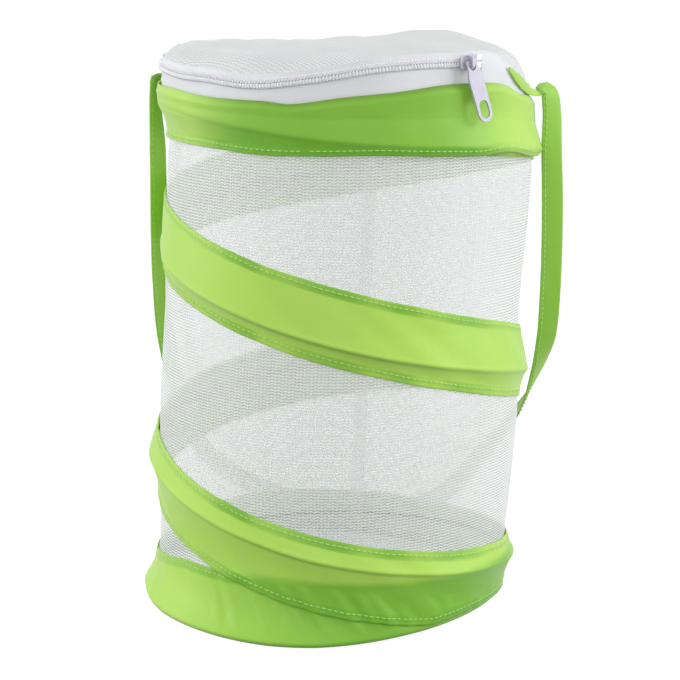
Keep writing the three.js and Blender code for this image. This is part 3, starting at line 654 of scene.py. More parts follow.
@dataclass(frozen=True)
class WovenTape(Finish):
    """White woven polyester tape, as zips are sewn on.

    The eye sees matt white with soft bands along the tape.
    """

    name: str = "white_woven_tape"
    colour: str = "#F1F2F5"
    shade: str = "#E9EBF0"
    rib_pitch: float = 5.655
    rib_depth: float = 0.12
    yarn: float = 1.1111
    cloud: float = 16.667
    roughness: float = 0.8
    specular: float = 0.25
    sheen: float = 0.1

    def surface(self, tree: bpy.types.NodeTree) -> bpy.types.NodeSocket:
        """Lays a noise as fine as the yarn over soft bands.

        The real ribs are 0.9 mm apart, too fine for the render, and are drawn as bands 5.7 mm apart.

        Args:
            tree: Node tree of the material.

        Returns:
            The shader's output.
        """
        coords = add(tree, "ShaderNodeUVMap", uv_map="cloth").outputs[0]
        ribs = add(tree, "ShaderNodeTexWave", {
            "Vector": coords, "Scale": wave_scale(self.rib_pitch), "Distortion": 0.4, "Detail": 1.0,
        }, bands_direction="Y")
        yarn = add(tree, "ShaderNodeTexNoise", {
            "Vector": coords, "Scale": 1 / (self.yarn * MM), "Detail": 2.0,
        })
        height = add(tree, "ShaderNodeMath", {0: ribs.outputs[1], 1: yarn}, operation="ADD")
        relief = add(tree, "ShaderNodeBump", {
            "Strength": 0.4, "Distance": self.rib_depth * MM, "Height": height,
        })
        clouds = add(tree, "ShaderNodeTexNoise", {"Vector": coords, "Scale": 1 / (self.cloud * MM)})
        colour = add(tree, "ShaderNodeMix", {
            MIX_SHARE: clouds, MIX_FIRST: linear(self.colour), MIX_SECOND: linear(self.shade),
        }, data_type="RGBA")
        shader = add(tree, "ShaderNodeBsdfPrincipled", {
            "Base Color": colour.outputs[MIX_COLOUR], "Roughness": self.roughness,
            "Specular IOR Level": self.specular, "Sheen Weight": self.sheen, "Normal": relief,
        })
        return shader.outputs[0]


@dataclass(frozen=True)
class SolidFinish(Finish):
    """A hard or threadlike finish with fine marks in its roughness and relief."""

    colour: str = "#FFFFFF"
    second: str = "#FFFFFF"
    roughness: float = 0.4
    metallic: float = 0.0
    coat: float = 0.0
    grain_pitch: float = 0.5
    relief_depth: float = 0.02
    rough_spread: float = 0.2
    coat_roughness: float = 0.15

    def surface(self, tree: bpy.types.NodeTree) -> bpy.types.NodeSocket:
        """Mixes two near colours by a noise as coarse as the grain, which also marks the surface.

        Args:
            tree: Node tree of the material.

        Returns:
            The shader's output.
        """
        coords = add(tree, "ShaderNodeTexCoord")
        grain = add(tree, "ShaderNodeTexNoise", {
            "Vector": coords.outputs["Object"], "Scale": 1 / (self.grain_pitch * MM), "Detail": 3.0,
        })
        colour = add(tree, "ShaderNodeMix", {
            MIX_SHARE: grain, MIX_FIRST: linear(self.colour), MIX_SECOND: linear(self.second),
        }, data_type="RGBA")
        rough = add(tree, "ShaderNodeMapRange", {
            "Value": grain, "To Min": self.roughness * (1 - self.rough_spread),
            "To Max": self.roughness * (1 + self.rough_spread),
        })
        relief = add(tree, "ShaderNodeBump", {
            "Strength": 0.3, "Distance": self.relief_depth * MM, "Height": grain,
        })
        shader = add(tree, "ShaderNodeBsdfPrincipled", {
            "Base Color": colour.outputs[MIX_COLOUR], "Roughness": rough, "Metallic": self.metallic,
            "Coat Weight": self.coat, "Coat Roughness": self.coat_roughness, "Normal": relief,
        })
        return shader.outputs[0]


TAFFETA = PolyesterTaffeta()
NET = PolyesterNet()
# The lid's net is seen at a low angle, so its holes close up and its rows run askew; its thread is drawn
# greyer than the wall's as painted shade
LID_NET = PolyesterNet(name="white_lid_net", slant=0.6, hole_alpha=0.72, thread="#EAEBEF")
# Sheer knitted binding over the net's seam: a little denser than the net, and as bright with light behind it
SEAM_TAPE = PolyesterNet(name="white_sheer_binding", hole_alpha=0.7, glow_share=0.55)
TAPE = WovenTape()
# Plain-woven polyester: flat white, with hardly a shine
FLOOR_CLOTH = WovenTape(name="white_floor_cloth", colour="#F4F5F7")
# Monofilament nylon, drawn and heat set: smooth, milky and a little shiny
NYLON = SolidFinish("white_nylon_coil", "#F6F6FA", "#EDEDF3", 0.35, 0.0, 0.2, 1.2)
# Enamel over die-cast zinc: a smooth, glossy, faintly lilac white
ENAMEL = SolidFinish("pale_enamelled_zinc", "#C6C4D3", "#BFBCCF", 0.42, 0.1, 0.15, 4.0)
# Edge of the same enamel, where it runs thin and the zinc shows darker
ENAMEL_EDGE = SolidFinish("thin_enamel_on_edges", "#8E88A4", "#827C98", 0.4, 0.3, 0.1, 4.0)
# Drawn and tempered spring wire: dark grey, with a dull shine
SPRING = SolidFinish("spring_steel_wire", "#6A6E74", "#565A60", 0.35, 1.0, 0.0, 0.6)
# Rolled and pressed metal: brighter, with rub marks
CRIMP = SolidFinish("pressed_metal_crimp", "#D2D5DA", "#BDC0C7", 0.4, 0.6, 0.0, 0.8)
# Spun polyester thread: pale green and matt
GREEN_THREAD = SolidFinish("pale_green_thread", "#CDEFA0", "#B2E07A", 0.7, 0.0, 0.0, 0.3)
# Folded and sewn taffeta of the strap's end: the double layer's green
WEBBING = SolidFinish("sewn_green_webbing", "#86C744", "#79B93A", 0.75, 0.0, 0.0, 0.5)


def mesh_object(
    name: str, points: np.ndarray, faces: list[tuple[int, ...]], finish: Finish
) -> bpy.types.Object:
    """Makes a smooth-shaded mesh object.

    Args:
        name: Name of the piece.
        points: Corners in millimetres.
        faces: Corner numbers of each face.
        finish: What it is made of.

    Returns:
        The object, in the scene.
    """
    mesh = bpy.data.meshes.new(name)
    mesh.from_pydata((np.asarray(points, float).reshape(-1, 3) * MM).tolist(), [], faces)
    mesh.polygons.foreach_set("use_smooth", [True] * len(mesh.polygons))
    mesh.materials.append(finish.material())
    made = bpy.data.objects.new(name, mesh)
    bpy.context.scene.collection.objects.link(made)
    return made


@dataclass
class Cloth:
    """A sheet of cloth as a grid of points, with what its material needs to know."""

    name: str
    points: np.ndarray
    finish: Finish
    closed: bool = False
    thickness: float = 0.0
    # Share of the double green at each point, for double cloth and for painted shade
    layers: np.ndarray | None = None
    # Share of the olive at each point, for the wire seen through the cloth and for painted shadow and shade
    wire: np.ndarray | None = None
    spread: np.ndarray | None = None

    def flat_places(self) -> np.ndarray:
        """Measures the cloth along its middle row and across from it.

        Returns:
            Places on the flat cloth, in metres.
        """
        if self.spread is not None:
            return self.spread * MM
        run = self.points
        if self.closed:
            run = np.concatenate([run, run[:1]])
        middle = run[:, run.shape[1] // 2]
        along = np.concatenate([[0], np.cumsum(np.linalg.norm(np.diff(middle, axis=0), axis=1))])
        across = np.cumsum(np.linalg.norm(np.diff(run, axis=1), axis=2), axis=1)
        across = np.concatenate([np.zeros((len(run), 1)), across], axis=1)
        return np.stack([np.repeat(along[:, None], run.shape[1], axis=1), across], axis=-1) * MM

    def build(self) -> bpy.types.Object:
        """Makes the mesh, with its cloth coordinates, its layers and its thickness.

        Returns:
            The object.
        """
        rows, columns = self.points.shape[:2]
        flat = self.flat_places()
        faces = []
        corners = []
        for i in range(rows if self.closed else rows - 1):
            after = (i + 1) % rows
            for j in range(columns - 1):
                here, there = i * columns + j, after * columns + j
                faces.append((here, there, there + 1, here + 1))
                corners.extend([(i, j), (i + 1, j), (i + 1, j + 1), (i, j + 1)])
        made = mesh_object(self.name, self.points, faces, self.finish)
        layer = made.data.uv_layers.new(name="cloth")
        picked = np.array(corners)
        layer.data.foreach_set("uv", flat[picked[:, 0], picked[:, 1]].astype(np.float32).ravel())
        # Both attributes carry painted shade as well as double cloth and the wire
        for title, values in (("layers", self.layers), ("wire", self.wire)):
            if values is not None:
                mark = made.data.attributes.new(title, "FLOAT", "POINT")
                mark.data.foreach_set("value", np.asarray(values, np.float32).ravel())
        if self.thickness:
            solid = made.modifiers.new("cloth_thickness", "SOLIDIFY")
            solid.thickness = self.thickness * MM
            solid.offset = 0.0
        return made


def frames_along(path: np.ndarray, closed: bool = False) -> tuple[np.ndarray, np.ndarray, np.ndarray]:
    """Finds how a path runs, with two directions square to it that don't twist.

    Args:
        path: Points in millimetres.
        closed: Whether the last point leads to the first.

    Returns:
        Unit vectors along, and the two across.
    """
    if closed:
        along = np.roll(path, -1, axis=0) - np.roll(path, 1, axis=0)
    else:
        along = np.gradient(path, axis=0)
    along /= np.linalg.norm(along, axis=1, keepdims=True)
    side = np.zeros_like(along)
    guess = np.array([0.0, 0.0, 1.0])
    if abs(along[0] @ guess) > 0.9:
        guess = np.array([1.0, 0.0, 0.0])
    for i, direction in enumerate(along):
        guess = guess - direction * (guess @ direction)
        guess = guess / np.linalg.norm(guess)
        side[i] = guess
    return along, side, np.cross(along, side)


def loft_faces(first: int, rings: int, sides: int, closed: bool = False) -> list[tuple[int, ...]]:
    """Joins rings of corners to the faces of a tube, with a face at each end unless it is closed.

    Args:
        first: Number of the first corner.
        rings: How many rings there are.
        sides: Corners of each ring.
        closed: Whether the last ring leads to the first.

    Returns:
        Corner numbers of each face.
    """
    faces: list[tuple[int, ...]] = []
    for ring in range(rings if closed else rings - 1):
        here = first + ring * sides
        there = first + (ring + 1) % rings * sides
        for k in range(sides):
            after = (k + 1) % sides
            faces.append((here + k, here + after, there + after, there + k))
    if not closed:
        last = first + (rings - 1) * sides
        faces.append(tuple(first + k for k in reversed(range(sides))))
        faces.append(tuple(last + k for k in range(sides)))
    return faces


def tube(
    name: str, path: np.ndarray, radius: float, sides: int, finish: Finish, closed: bool = False
) -> bpy.types.Object:
    """Makes a round wire or filament along a path, with closed ends.

    Args:
        name: Name of the piece.
        path: Points in millimetres.
        radius: Radius of the wire.
        sides: Corners of the section.
        finish: What it is made of.
        closed: Whether it runs back into itself.

    Returns:
        The object.
    """
    _, side, other = frames_along(path, closed)
    rings = []
    for k in range(sides):
        turn = 2 * math.pi * k / sides
        rings.append(path + radius * (side * math.cos(turn) + other * math.sin(turn)))
    points = np.stack(rings, axis=1).reshape(-1, 3)
    return mesh_object(name, points, loft_faces(0, len(path), sides, closed), finish)


@dataclass(frozen=True)
class StitchLine:
    """A row of lockstitches seen from outside: short raised dashes of thread."""

    pitch: float = 3.2
    length: float = 2.4
    thread: float = 0.3
    lift: float = 0.2
    sides: int = 6
    # Place along the dash, share of the thread's radius, and share of the lift
    profile: tuple[tuple[float, float, float], ...] = (
        (0.0, 0.25, -0.6), (0.14, 0.85, 0.5), (0.5, 1.0, 1.0), (0.86, 0.85, 0.5), (1.0, 0.25, -0.6),
    )

    def dashes(self, path: np.ndarray, outward: np.ndarray) -> tuple[list[np.ndarray], list[tuple[int, ...]]]:
        """Lays dashes along one line.

        Args:
            path: Points of the line, on the cloth.
            outward: Unit vectors away from the cloth.

        Returns:
            The corner points and the faces of all dashes.
        """
        steps = np.linalg.norm(np.diff(path, axis=0), axis=1)
        run = np.concatenate([[0], np.cumsum(steps)])
        points: list[np.ndarray] = []
        faces: list[tuple[int, ...]] = []
        for start in np.arange(self.pitch / 2, run[-1] - self.length, self.pitch):
            spots = np.array([start + share * self.length for share, _, _ in self.profile])
            line = np.stack([np.interp(spots, run, path[:, k]) for k in range(3)], axis=1)
            out = np.stack([np.interp(spots, run, outward[:, k]) for k in range(3)], axis=1)
            along = line[-1] - line[0]
            along /= np.linalg.norm(along)
            first = len(points) * self.sides
            for n, (_, size, rise) in enumerate(self.profile):
                side = np.cross(along, out[n])
                centre = line[n] + out[n] * self.lift * rise
                turns = np.arange(self.sides)[:, None] * math.tau / self.sides
                points.append(centre + self.thread * size * (np.cos(turns) * side + np.sin(turns) * out[n]))
            faces.extend(loft_faces(first, len(self.profile), self.sides))
        return points, faces

    def build(
        self, name: str, lines: list[tuple[np.ndarray, np.ndarray]], finish: Finish
    ) -> bpy.types.Object:
        """Makes one object of the dashes on several lines.

        Args:
            name: Name of the piece.
            lines: For each line, its points and its outward vectors.
            finish: What the thread is made of.

        Returns:
            The stitches.
        """
        points: list[np.ndarray] = []
        faces: list[tuple[int, ...]] = []
        for path, outward in lines:
            more, ties = self.dashes(path, outward)
            first = len(points) * self.sides
            points.extend(more)
            faces.extend(tuple(first + k for k in tie) for tie in ties)
        return mesh_object(name, np.concatenate(points), faces, finish)


@dataclass
class SubAssembly:
    """A group of pieces that one maker would hand over together."""

    form: CageForm = FORM
    collapse_keep: float = 0.224

    def dress(self, piece: bpy.types.Object, body: Body, slot: Slot, *nodes: str) -> bpy.types.Object:
        """Lets a piece ride on a body and stand for CAD nodes, whose parts it hides.

        Args:
            piece: The piece.
            body: What it rides on.
            slot: Its material slot in the record; not used.
            *nodes: CAD nodes that it takes the place of.

        Returns:
            The piece.
        """
        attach(piece, body.value)
        if nodes:
            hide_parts(*nodes)
        LOG.info("piece %s on %s, %d faces", piece.name, body.value, len(piece.data.polygons))
        return piece

    def fold_down(self, piece: bpy.types.Object) -> None:
        """Gives a piece of the wall its own copy of its mesh."""
        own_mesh(piece)

    def sew_round(
        self, name: str, radius: np.ndarray, bearings: np.ndarray, heights: np.ndarray
    ) -> bpy.types.Object:
        """Sews a row of stitches all round the cage.

        Args:
            name: Name of the piece.
            radius: Distance from the axis at each bearing.
            bearings: Degrees along the row.
            heights: Height at each bearing.

        Returns:
            The stitches.
        """
        path = place(radius, bearings, heights)
        out = place(1.0, bearings, 0.0)
        line = (np.concatenate([path, path[:1]]), np.concatenate([out, out[:1]]))
        return StitchLine().build(name, [line], GREEN_THREAD)

    def finish_node(self, node: str, finish: Finish, bevel: float = 0.0, edge: Finish | None = None) -> None:
        """Gives a CAD node that stays its material, and eases its edges.

        Args:
            node: Name of the node.
            finish: What it is made of.
            bevel: Width of the eased edges, or 0.
            edge: What shows on the eased edges, when it isn't the finish itself.
        """
        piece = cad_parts[node]
        piece.data.materials.clear()
        piece.data.materials.append(finish.material())
        if edge:
            piece.data.materials.append(edge.material())
        if bevel:
            ease = piece.modifiers.new("eased_edges", "BEVEL")
            ease.width = bevel * MM
            ease.segments = 3
            ease.limit_method = "ANGLE"
            ease.harden_normals = True
            ease.material = 1 if edge else 0
        LOG.info("node %s is %s", node, finish.name)


@dataclass
class BottomEnd(SubAssembly):
    """The foot of the cage: cloth floor, bottom ring and bottom band."""

    around: int = 480
    rows: int = 34
    ring_height: float = 2.55
    ring_inset: float = 1.7
    edge_offset: float = 0.8
    flare_power: float = 3.3
    curl_under: float = 1.3
    folds: Ripple = Ripple((9, 14, 23, 31), 0.8, SEED + 1)
    fold_slant: float = 0.5
    puckers: Ripple = Ripple((41, 53, 67), 1.0, SEED + 3)
    pucker_slant: float = 0.35
    pucker_spread: float = 75.0
    fold_roundness: float = 0.8
    pucker_start: float = 0.35
    pucker_end: float = 0.1
    edge_waves: Ripple = Ripple((17, 29), 0.3, SEED + 2)
    foot: float = 0.5
    top_hem: float = 6.0
    top_hem_shade: float = 0.2
    # Painted shade on the top hem across the front
    front_hem_shade: float = 0.3
    front_spread: float = 110.0
    low_hem: float = 2.0
    low_hem_shade: float = 0.35
    # Patches of painted shade across the front: share of the double green, bearing and spread
    behind: tuple[tuple[float, float, float], ...] = ((0.5, 5, 60), (0.6, 45, 70))
    fold_line_shade: float = 0.4
    fold_line_height: float = 1.2
    floor_height: float = 0.5
    floor_rings: int = 40
    floor_inset: float = 1.0
    floor_rise: float = 0.7
    floor_thickness: float = 0.5
    floor_middle: float = 1.0
    cloth: float = 0.4
    stitch_drop: float = 2.4
    band_top: RoundTable = RoundTable((
        (-100, 21.0), (-80, 21.0), (-66, 23.5), (-55, 26.5), (-42, 30.2), (-28, 31.2), (0, 30.5), (60, 30.0),
        (120, 29.0), (180, 29.0), (230, 27.0),
    ))
    foot_radius: RoundTable = RoundTable((
        (-110, 102.6), (-75, 102.8), (-65, 103.4), (-55, 105.2), (-45, 106.8), (-35, 107.8), (-25, 108.5),
        (-15, 109.0), (-5, 108.8), (5, 107.0), (15, 104.3), (25, 102.4), (35, 101.0), (45, 100.4), (55, 99.6),
        (65, 99.0), (75, 98.7), (88, 98.6), (100, 99.6), (115, 101.2), (135, 103.2), (160, 104.4),
        (200, 104.4), (230, 103.4),
    ))
    lift: RoundTable = RoundTable((
        (-100, 0.0), (-40, 0.0), (0, 0.0), (10, 0.3), (20, 1.3), (30, 2.7), (40, 4.1), (50, 5.4), (60, 6.2),
        (72, 6.5), (84, 6.0), (96, 4.8), (112, 2.8), (130, 1.0), (150, 0.0), (200, 0.0),
    ))

    def outer(self, bearing: Any, height: Any) -> Any:
        """Radius of the bottom band's cloth, which flares out over the ring.

        Args:
            bearing: Degrees.
            height: Height over the ground.

        Returns:
            The radius.
        """
        foot = self.foot_radius.at(bearing)
        start = self.ring_height + self.lift.at(bearing)
        above = np.clip((height - start) / (self.band_top.at(bearing) - self.ring_height), 0, 1)
        below = np.clip((start - height) / self.ring_height, 0, 1)
        edge = self.form.wall_radius + self.edge_offset + self.form.lean_at(bearing, height)
        # Folds are deepest half way up, and puckers run from the ring to just under the stitches
        folds = self.folds.at(bearing + self.fold_slant * height)
        folds = folds * np.sin(np.pi * np.clip(above * 1.05, 0, 1)) ** self.fold_roundness
        puckers = self.puckers.at(bearing + self.pucker_slant * height) * bump(bearing, 0, self.pucker_spread)
        puckers = puckers * smooth(above / self.pucker_start) * smooth((1 - above) / self.pucker_end)
        flare = (foot - edge) * (1 - above) ** self.flare_power
        return edge + flare - self.curl_under * below**2 + folds + puckers

    def layers_at(self, bearings: np.ndarray, heights: np.ndarray, low: Any, tops: Any) -> np.ndarray:
        """How much of the cloth takes the double green: at its two hems, with painted shade added to the top
        hem across the front, and in patches of painted shade across the front.

        Args:
            bearings: Degrees.
            heights: Heights on the band.
            low: Height of the lower edge.
            tops: Height of the upper edge.

        Returns:
            Shares from 0 to 1.
        """
        shade = self.top_hem_shade + self.front_hem_shade * bump(bearings, 0, self.front_spread)
        top_hem = shade * smooth((heights - tops + self.top_hem) / 1.5)
        low_hem = self.low_hem_shade * smooth((low + self.low_hem - heights) / 2)
        # Patches of painted shade across the front
        behind = sum(share * bump(bearings, middle, spread) for share, middle, spread in self.behind)
        return np.clip(top_hem + low_hem + behind, 0, 1)

    def build(self) -> None:
        """Makes the floor, the ring, which takes the place of the ring wire and its crimp, the band and its
        stitches.
        """
        bearings = np.linspace(0, 360, self.around, endpoint=False)[:, None]
        around = bearings[:, 0]
        low = self.foot + self.lift.at(bearings)
        tops = self.band_top.at(bearings) + self.edge_waves.at(bearings)
        heights = low + (tops - low) * np.linspace(0, 1, self.rows)[None, :]
        # Painted shade along the lower edge, where the cloth curls under to the floor, laid in the wire's
        # olive
        fold_line = self.fold_line_shade * smooth(low + self.fold_line_height - heights)
        band = Cloth("bottom_band_cloth", place(self.outer(bearings, heights), bearings, heights), TAFFETA,
                     closed=True, thickness=self.cloth, layers=self.layers_at(bearings, heights, low, tops),
                     wire=fold_line).build()
        self.dress(band, Body.BASE, Slot.GREEN, "bottom_band")
        self.fold_down(band)

        seam = (tops - self.stitch_drop)[:, 0]
        outside = self.outer(around, seam) + self.cloth / 2
        stitches = self.sew_round("bottom_band_stitches", outside, around, seam)
        self.dress(stitches, Body.BASE, Slot.GREEN)
        self.fold_down(stitches)

        ring = self.foot_radius.at(around) - self.ring_inset
        path = place(ring, around, self.ring_height + self.lift.at(around))
        wire = tube("bottom_ring_spring_wire", path, self.form.wire_radius, self.form.wire_sides, SPRING,
                    closed=True)
        self.dress(wire, Body.BASE, Slot.SPRING, "bottom_ring_wire", "bottom_ring_ferrule")
        self.fold_down(wire)

        spots = np.linspace(0, 1, self.floor_rings)[None, :]
        rim = ring[:, None] - self.floor_inset
        sag = self.floor_height + (self.lift.at(bearings) + self.floor_rise) * spots**4
        flat = place(self.floor_middle + (rim - self.floor_middle) * spots, bearings, sag)
        floor = Cloth("floor_cloth", flat, FLOOR_CLOTH, closed=True, thickness=self.floor_thickness,
                      spread=np.concatenate([flat[..., :2], flat[:1, :, :2]])).build()
        self.dress(floor, Body.BASE, Slot.TAPE, "floor_panel")
        self.fold_down(floor)


@dataclass
class NetWall(SubAssembly):
    """The net wall and the tape over its seam."""

    foot: BottomEnd = field(default_factory=BottomEnd)
    around: int = 360
    rows: int = 84
    low: float = 1.4
    top: float = 281.0
    streaks: Ripple = Ripple((7, 13, 19, 31, 43), 0.4, SEED)
    streak_slant: float = 0.02
    gathers: Ripple = Ripple((58, 67, 79), 0.28, SEED + 4)
    gather_slant: float = -0.01
    gather_reach: float = 16.0
    calm_run: float = 40.0
    past_band: float = 25.0
    seam_bearing: float = 180.0
    tape_width: float = 8.0
    tape_inset: float = 1.2
    tape_columns: int = 9
    inside: float = 1.1

    def radius(self, bearing: Any, height: Any) -> Any:
        """Radius of the net, with its vertical streaks and the gathers under the top band.

        Args:
            bearing: Degrees round the wall.
            height: Heights on it.

        Returns:
            The radius.
        """
        below_band = self.form.band_low - height
        above_foot = smooth(height / self.calm_run)
        below_rim = smooth((below_band + self.past_band) / self.calm_run)
        gathers = self.gathers.at(bearing + self.gather_slant * height) * near(below_band, self.gather_reach)
        waves = self.streaks.at(bearing + self.streak_slant * height) + gathers
        own = self.form.wall_at(height) + waves * (above_foot * below_rim)
        own = own + self.form.lean_at(bearing, height)
        held = self.foot.outer(bearing, height) - self.inside
        return np.where(height < self.foot.band_top.at(bearing), np.minimum(own, held), own)

    def build(self) -> None:
        """Makes the wall and the seam tape."""
        form = self.form
        bearings = np.linspace(0, 360, self.around, endpoint=False)[:, None] + self.seam_bearing
        tops = form.rim_height(bearings, self.top, form.band_slack.at(bearings))
        lows = self.low + self.foot.lift.at(bearings)
        heights = lows + (tops - lows) * np.linspace(0, 1, self.rows)[None, :]
        grid = place(self.radius(bearings, heights), bearings, heights)
        wall = Cloth("net_wall", grid, NET, closed=True).build()
        self.dress(wall, Body.BASE, Slot.NET, "wall_mesh")
        self.fold_down(wall)

        half = math.degrees(self.tape_width / 2 / form.wall_radius)
        strip = np.linspace(self.seam_bearing - half, self.seam_bearing + half, self.tape_columns)[:, None]
        top = float(form.rim_height(self.seam_bearing, self.top))
        rise = np.linspace(self.low, top, self.rows)[None, :]
        grid = place(self.radius(strip, rise) - self.tape_inset, strip, rise)
        tape = Cloth("wall_seam_tape_cloth", grid, SEAM_TAPE).build()
        self.dress(tape, Body.BASE, Slot.TAPE, "wall_seam_tape")
        self.fold_down(tape)


@dataclass
class SpiralSpring(SubAssembly):
    """The spiral wire and the green band sewn over it."""

    foot: BottomEnd = field(default_factory=BottomEnd)
    steps_per_turn: int = 360
    start: float = 0.2
    end: float = 2.93
    rows: int = 44
    cloth: float = 0.4
    edge_offset: float = 0.8
    over_wire: float = 1.15
    over_foot: float = 0.8
    foot_cover: float = 4.0
    hem: float = 5.5
    hem_edge: float = 0.8
    top_stitch: float = 2.3
    low_stitch: float = 3.3
    stitch_shadow: float = 0.9
    least_height: float = 3.2
    least_width: float = 1.5
    sewn_width: float = 7.0
    tuck: float = 2.5
    upper_sag: float = 1.15
    lower_sag: float = 2.4
    crest_height: float = 0.35
    crest_width: float = 1.2
    pucker_reach: float = 5.0
    inside_foot: float = 1.6
    sewn_head: float = 0.3
    head_inset: float = 0.9
    # The hems are double all round by faint_hem; the hem shades add painted fold shadow in patches across the
    # front
    faint_hem: float = 0.08
    top_hem_shade: float = 0.72
    low_hem_shade: float = 0.55
    even_share: float = 0.4
    overlap_turn: float = 1.8
    overlap_height: float = 36.0
    overlap_edge: float = 5.0
    overlap_shade: float = 0.85
    # The wire's olive: the wire seen through the cloth with a painted crease shadow, and painted shade under
    # the stitches
    wire_mark: float = 0.8
    wire_shade: tuple[float, float] = (0.1, 0.55)
    wire_weight: float = 0.85
    seam_mark: float = 0.6
    seam_shade: float = 0.22
    edge_waves: Ripple = Ripple((5, 12, 19), 0.35, SEED + 5)
    fine: Ripple = Ripple((47, 58, 71, 83), 0.28, SEED + 6)
    fine_lift: float = 0.28
    slow: Ripple = Ripple((6, 9, 15, 22), 0.55, SEED + 7)
    slow_lift: float = 0.2
    slow_slant: float = 0.9
    patches: Ripple = Ripple((9, 14, 23), 1.1, SEED + 8)
    hem_shadow_stretch: Stretch = Stretch(-42, 25, 75, 30)
    overlap_shows: Stretch = Stretch(-24, 16, 110, 30)
    wire_shows: Stretch = Stretch(-52, 45, 70, 45)

    def edges(self, turns: Any) -> tuple[Any, Any, Any]:
        """Heights of the band's upper edge, of the wire and of the lower edge.

        Args:
            turns: Turns from the spiral's head.

        Returns:
            The three heights.
        """
        form = self.form
        wire = form.spiral_height(turns)
        above = along_turns(form.above_shares, turns) * form.band_width
        wobble = self.edge_waves.at(np.asarray(turns) * 360)
        upper = np.minimum(wire + above + wobble, form.band_low + self.tuck)
        least = self.least_height + self.foot.lift.at(form.spiral_bearing(turns))
        lower = np.maximum(wire + above - form.band_width - wobble, least)
        return upper, wire, np.minimum(lower, upper - self.least_width)

    def radius(self, turns: Any, height: Any) -> Any:
        """Radius of the band's cloth, a tent over the wire that also lies over the bottom band.

        Args:
            turns: Turns from the spiral's head.
            height: Height on the band.

        Returns:
            The radius.
        """
        upper, wire, lower = self.edges(turns)
        bearing = self.form.spiral_bearing(turns)
        lean = self.form.lean_at(bearing, height)
        edge = self.form.wall_at(height) + self.edge_offset
        ridge = self.form.spiral_radius(turns) + self.over_wire
        up = np.clip((height - wire) / np.maximum(upper - wire, 1.0), 0, 1)
        down = np.clip((wire - height) / np.maximum(wire - lower, 6.0), 0, 1)
        tent = np.where(height > wire, (1 - up) ** self.upper_sag, (1 - down) ** self.lower_sag)
        crest = near(height - wire, self.crest_width) * self.crest_height
        lies = edge + (ridge - edge) * tent + crest + lean
        over = self.foot.outer(bearing, height) + self.over_foot
        covers = smooth((self.foot.band_top.at(bearing) + self.foot_cover - height) / self.foot_cover)
        return np.where(covers > 0, np.maximum(lies, edge + lean + (over - edge - lean) * covers), lies)

    def cloth_radius(self, turns: Any, height: Any) -> Any:
        """Radius with the puckers that the sewing draws in, and slow folds between them.

        Args:
            turns: Turns from the spiral's head.
            height: Height on the band.

        Returns:
            The radius.
        """
        upper, _, lower = self.edges(turns)
        degrees = np.asarray(turns) * 360
        sewn = near(upper - height, self.pucker_reach) + near(height - lower, self.pucker_reach)
        sewn = np.clip(sewn, 0, 1)
        fine = self.fine.at(degrees) + self.fine_lift
        slow = self.slow.at(degrees + self.slow_slant * (height - lower)) + self.slow_lift
        return self.radius(turns, height) + fine * sewn + slow * (1 - sewn)

    def layers_at(self, turns: np.ndarray, heights: np.ndarray) -> np.ndarray:
        """How much of the cloth takes the double green: at its hems, which are double, with patches of
        painted fold shadow across the front, and low down, where the turns overlap.

        Args:
            turns: Turns from the spiral's head.
            heights: Heights on the band.

        Returns:
            Shares from 0 to 1.
        """
        upper, _, lower = self.edges(turns)
        bearings = self.form.spiral_bearing(turns)
        patch = np.clip(0.5 + self.patches.at(bearings), 0, 1)
        # Painted fold shadow on the hems, across the front only
        right = self.hem_shadow_stretch.at(bearings)
        top_hem = smooth((heights - upper + self.hem) / self.hem_edge)
        uneven = self.even_share + (1 - self.even_share) * patch
        top_hem = top_hem * (self.faint_hem + self.top_hem_shade * right * uneven)
        low_hem = smooth((lower + self.hem - heights) / self.hem_edge)
        low_hem = low_hem * (self.faint_hem + self.low_hem_shade * right * patch)
        overlap = smooth((self.overlap_height - heights) / self.overlap_edge) * (turns > self.overlap_turn)
        overlap = overlap * self.overlap_shows.at(bearings)
        return np.clip(top_hem + low_hem + self.overlap_shade * overlap, 0, 1)

    def wire_and_shade_at(self, turns: np.ndarray, heights: np.ndarray) -> np.ndarray:
        """How much of the wire's olive the cloth takes: along the wire, which shows through with a painted
        crease shadow, and as painted shade under the two rows of stitches.

        Args:
            turns: Turns from the spiral's head.
            heights: Heights on the band.

        Returns:
            Shares from 0 to 1.
        """
        upper, middle, lower = self.edges(turns)
        faint, strong = self.wire_shade
        strength = faint + strong * self.wire_shows.at(self.form.spiral_bearing(turns))
        lowered = heights + self.stitch_shadow
        wire = near(lowered - middle, self.wire_mark) * strength
        seams = near(lowered - upper + self.top_stitch, self.seam_mark)
        seams = seams + near(lowered - lower - self.low_stitch, self.seam_mark)
        return np.clip(wire * self.wire_weight + self.seam_shade * seams, 0, 1)

    def wire_path(self) -> np.ndarray:
        """Runs the wire down its turns, inside both bands.

        Returns:
            Points on its middle line.
        """
        form = self.form
        turns = np.linspace(0, form.spiral_turns, int(form.spiral_turns * self.steps_per_turn) + 1)
        level = form.spiral_height(turns)
        around = form.spiral_bearing(turns)
        free = form.spiral_radius(turns)
        held = np.minimum(free, self.foot.outer(around, level) - self.inside_foot)
        out = np.where(level < self.foot.band_top.at(around), held, free)
        drawn = (self.head_inset + form.rim_inset(around)) * smooth(1 - turns / self.sewn_head)
        path = place(out + form.lean_at(around, level) - drawn, around, level)
        head = np.clip((path[:, 2] - form.band_low) / (form.spiral_head - form.band_low), 0, 1)
        path[:, 2] += form.rim_rise(path[:, 0], path[:, 1]) * head
        return path

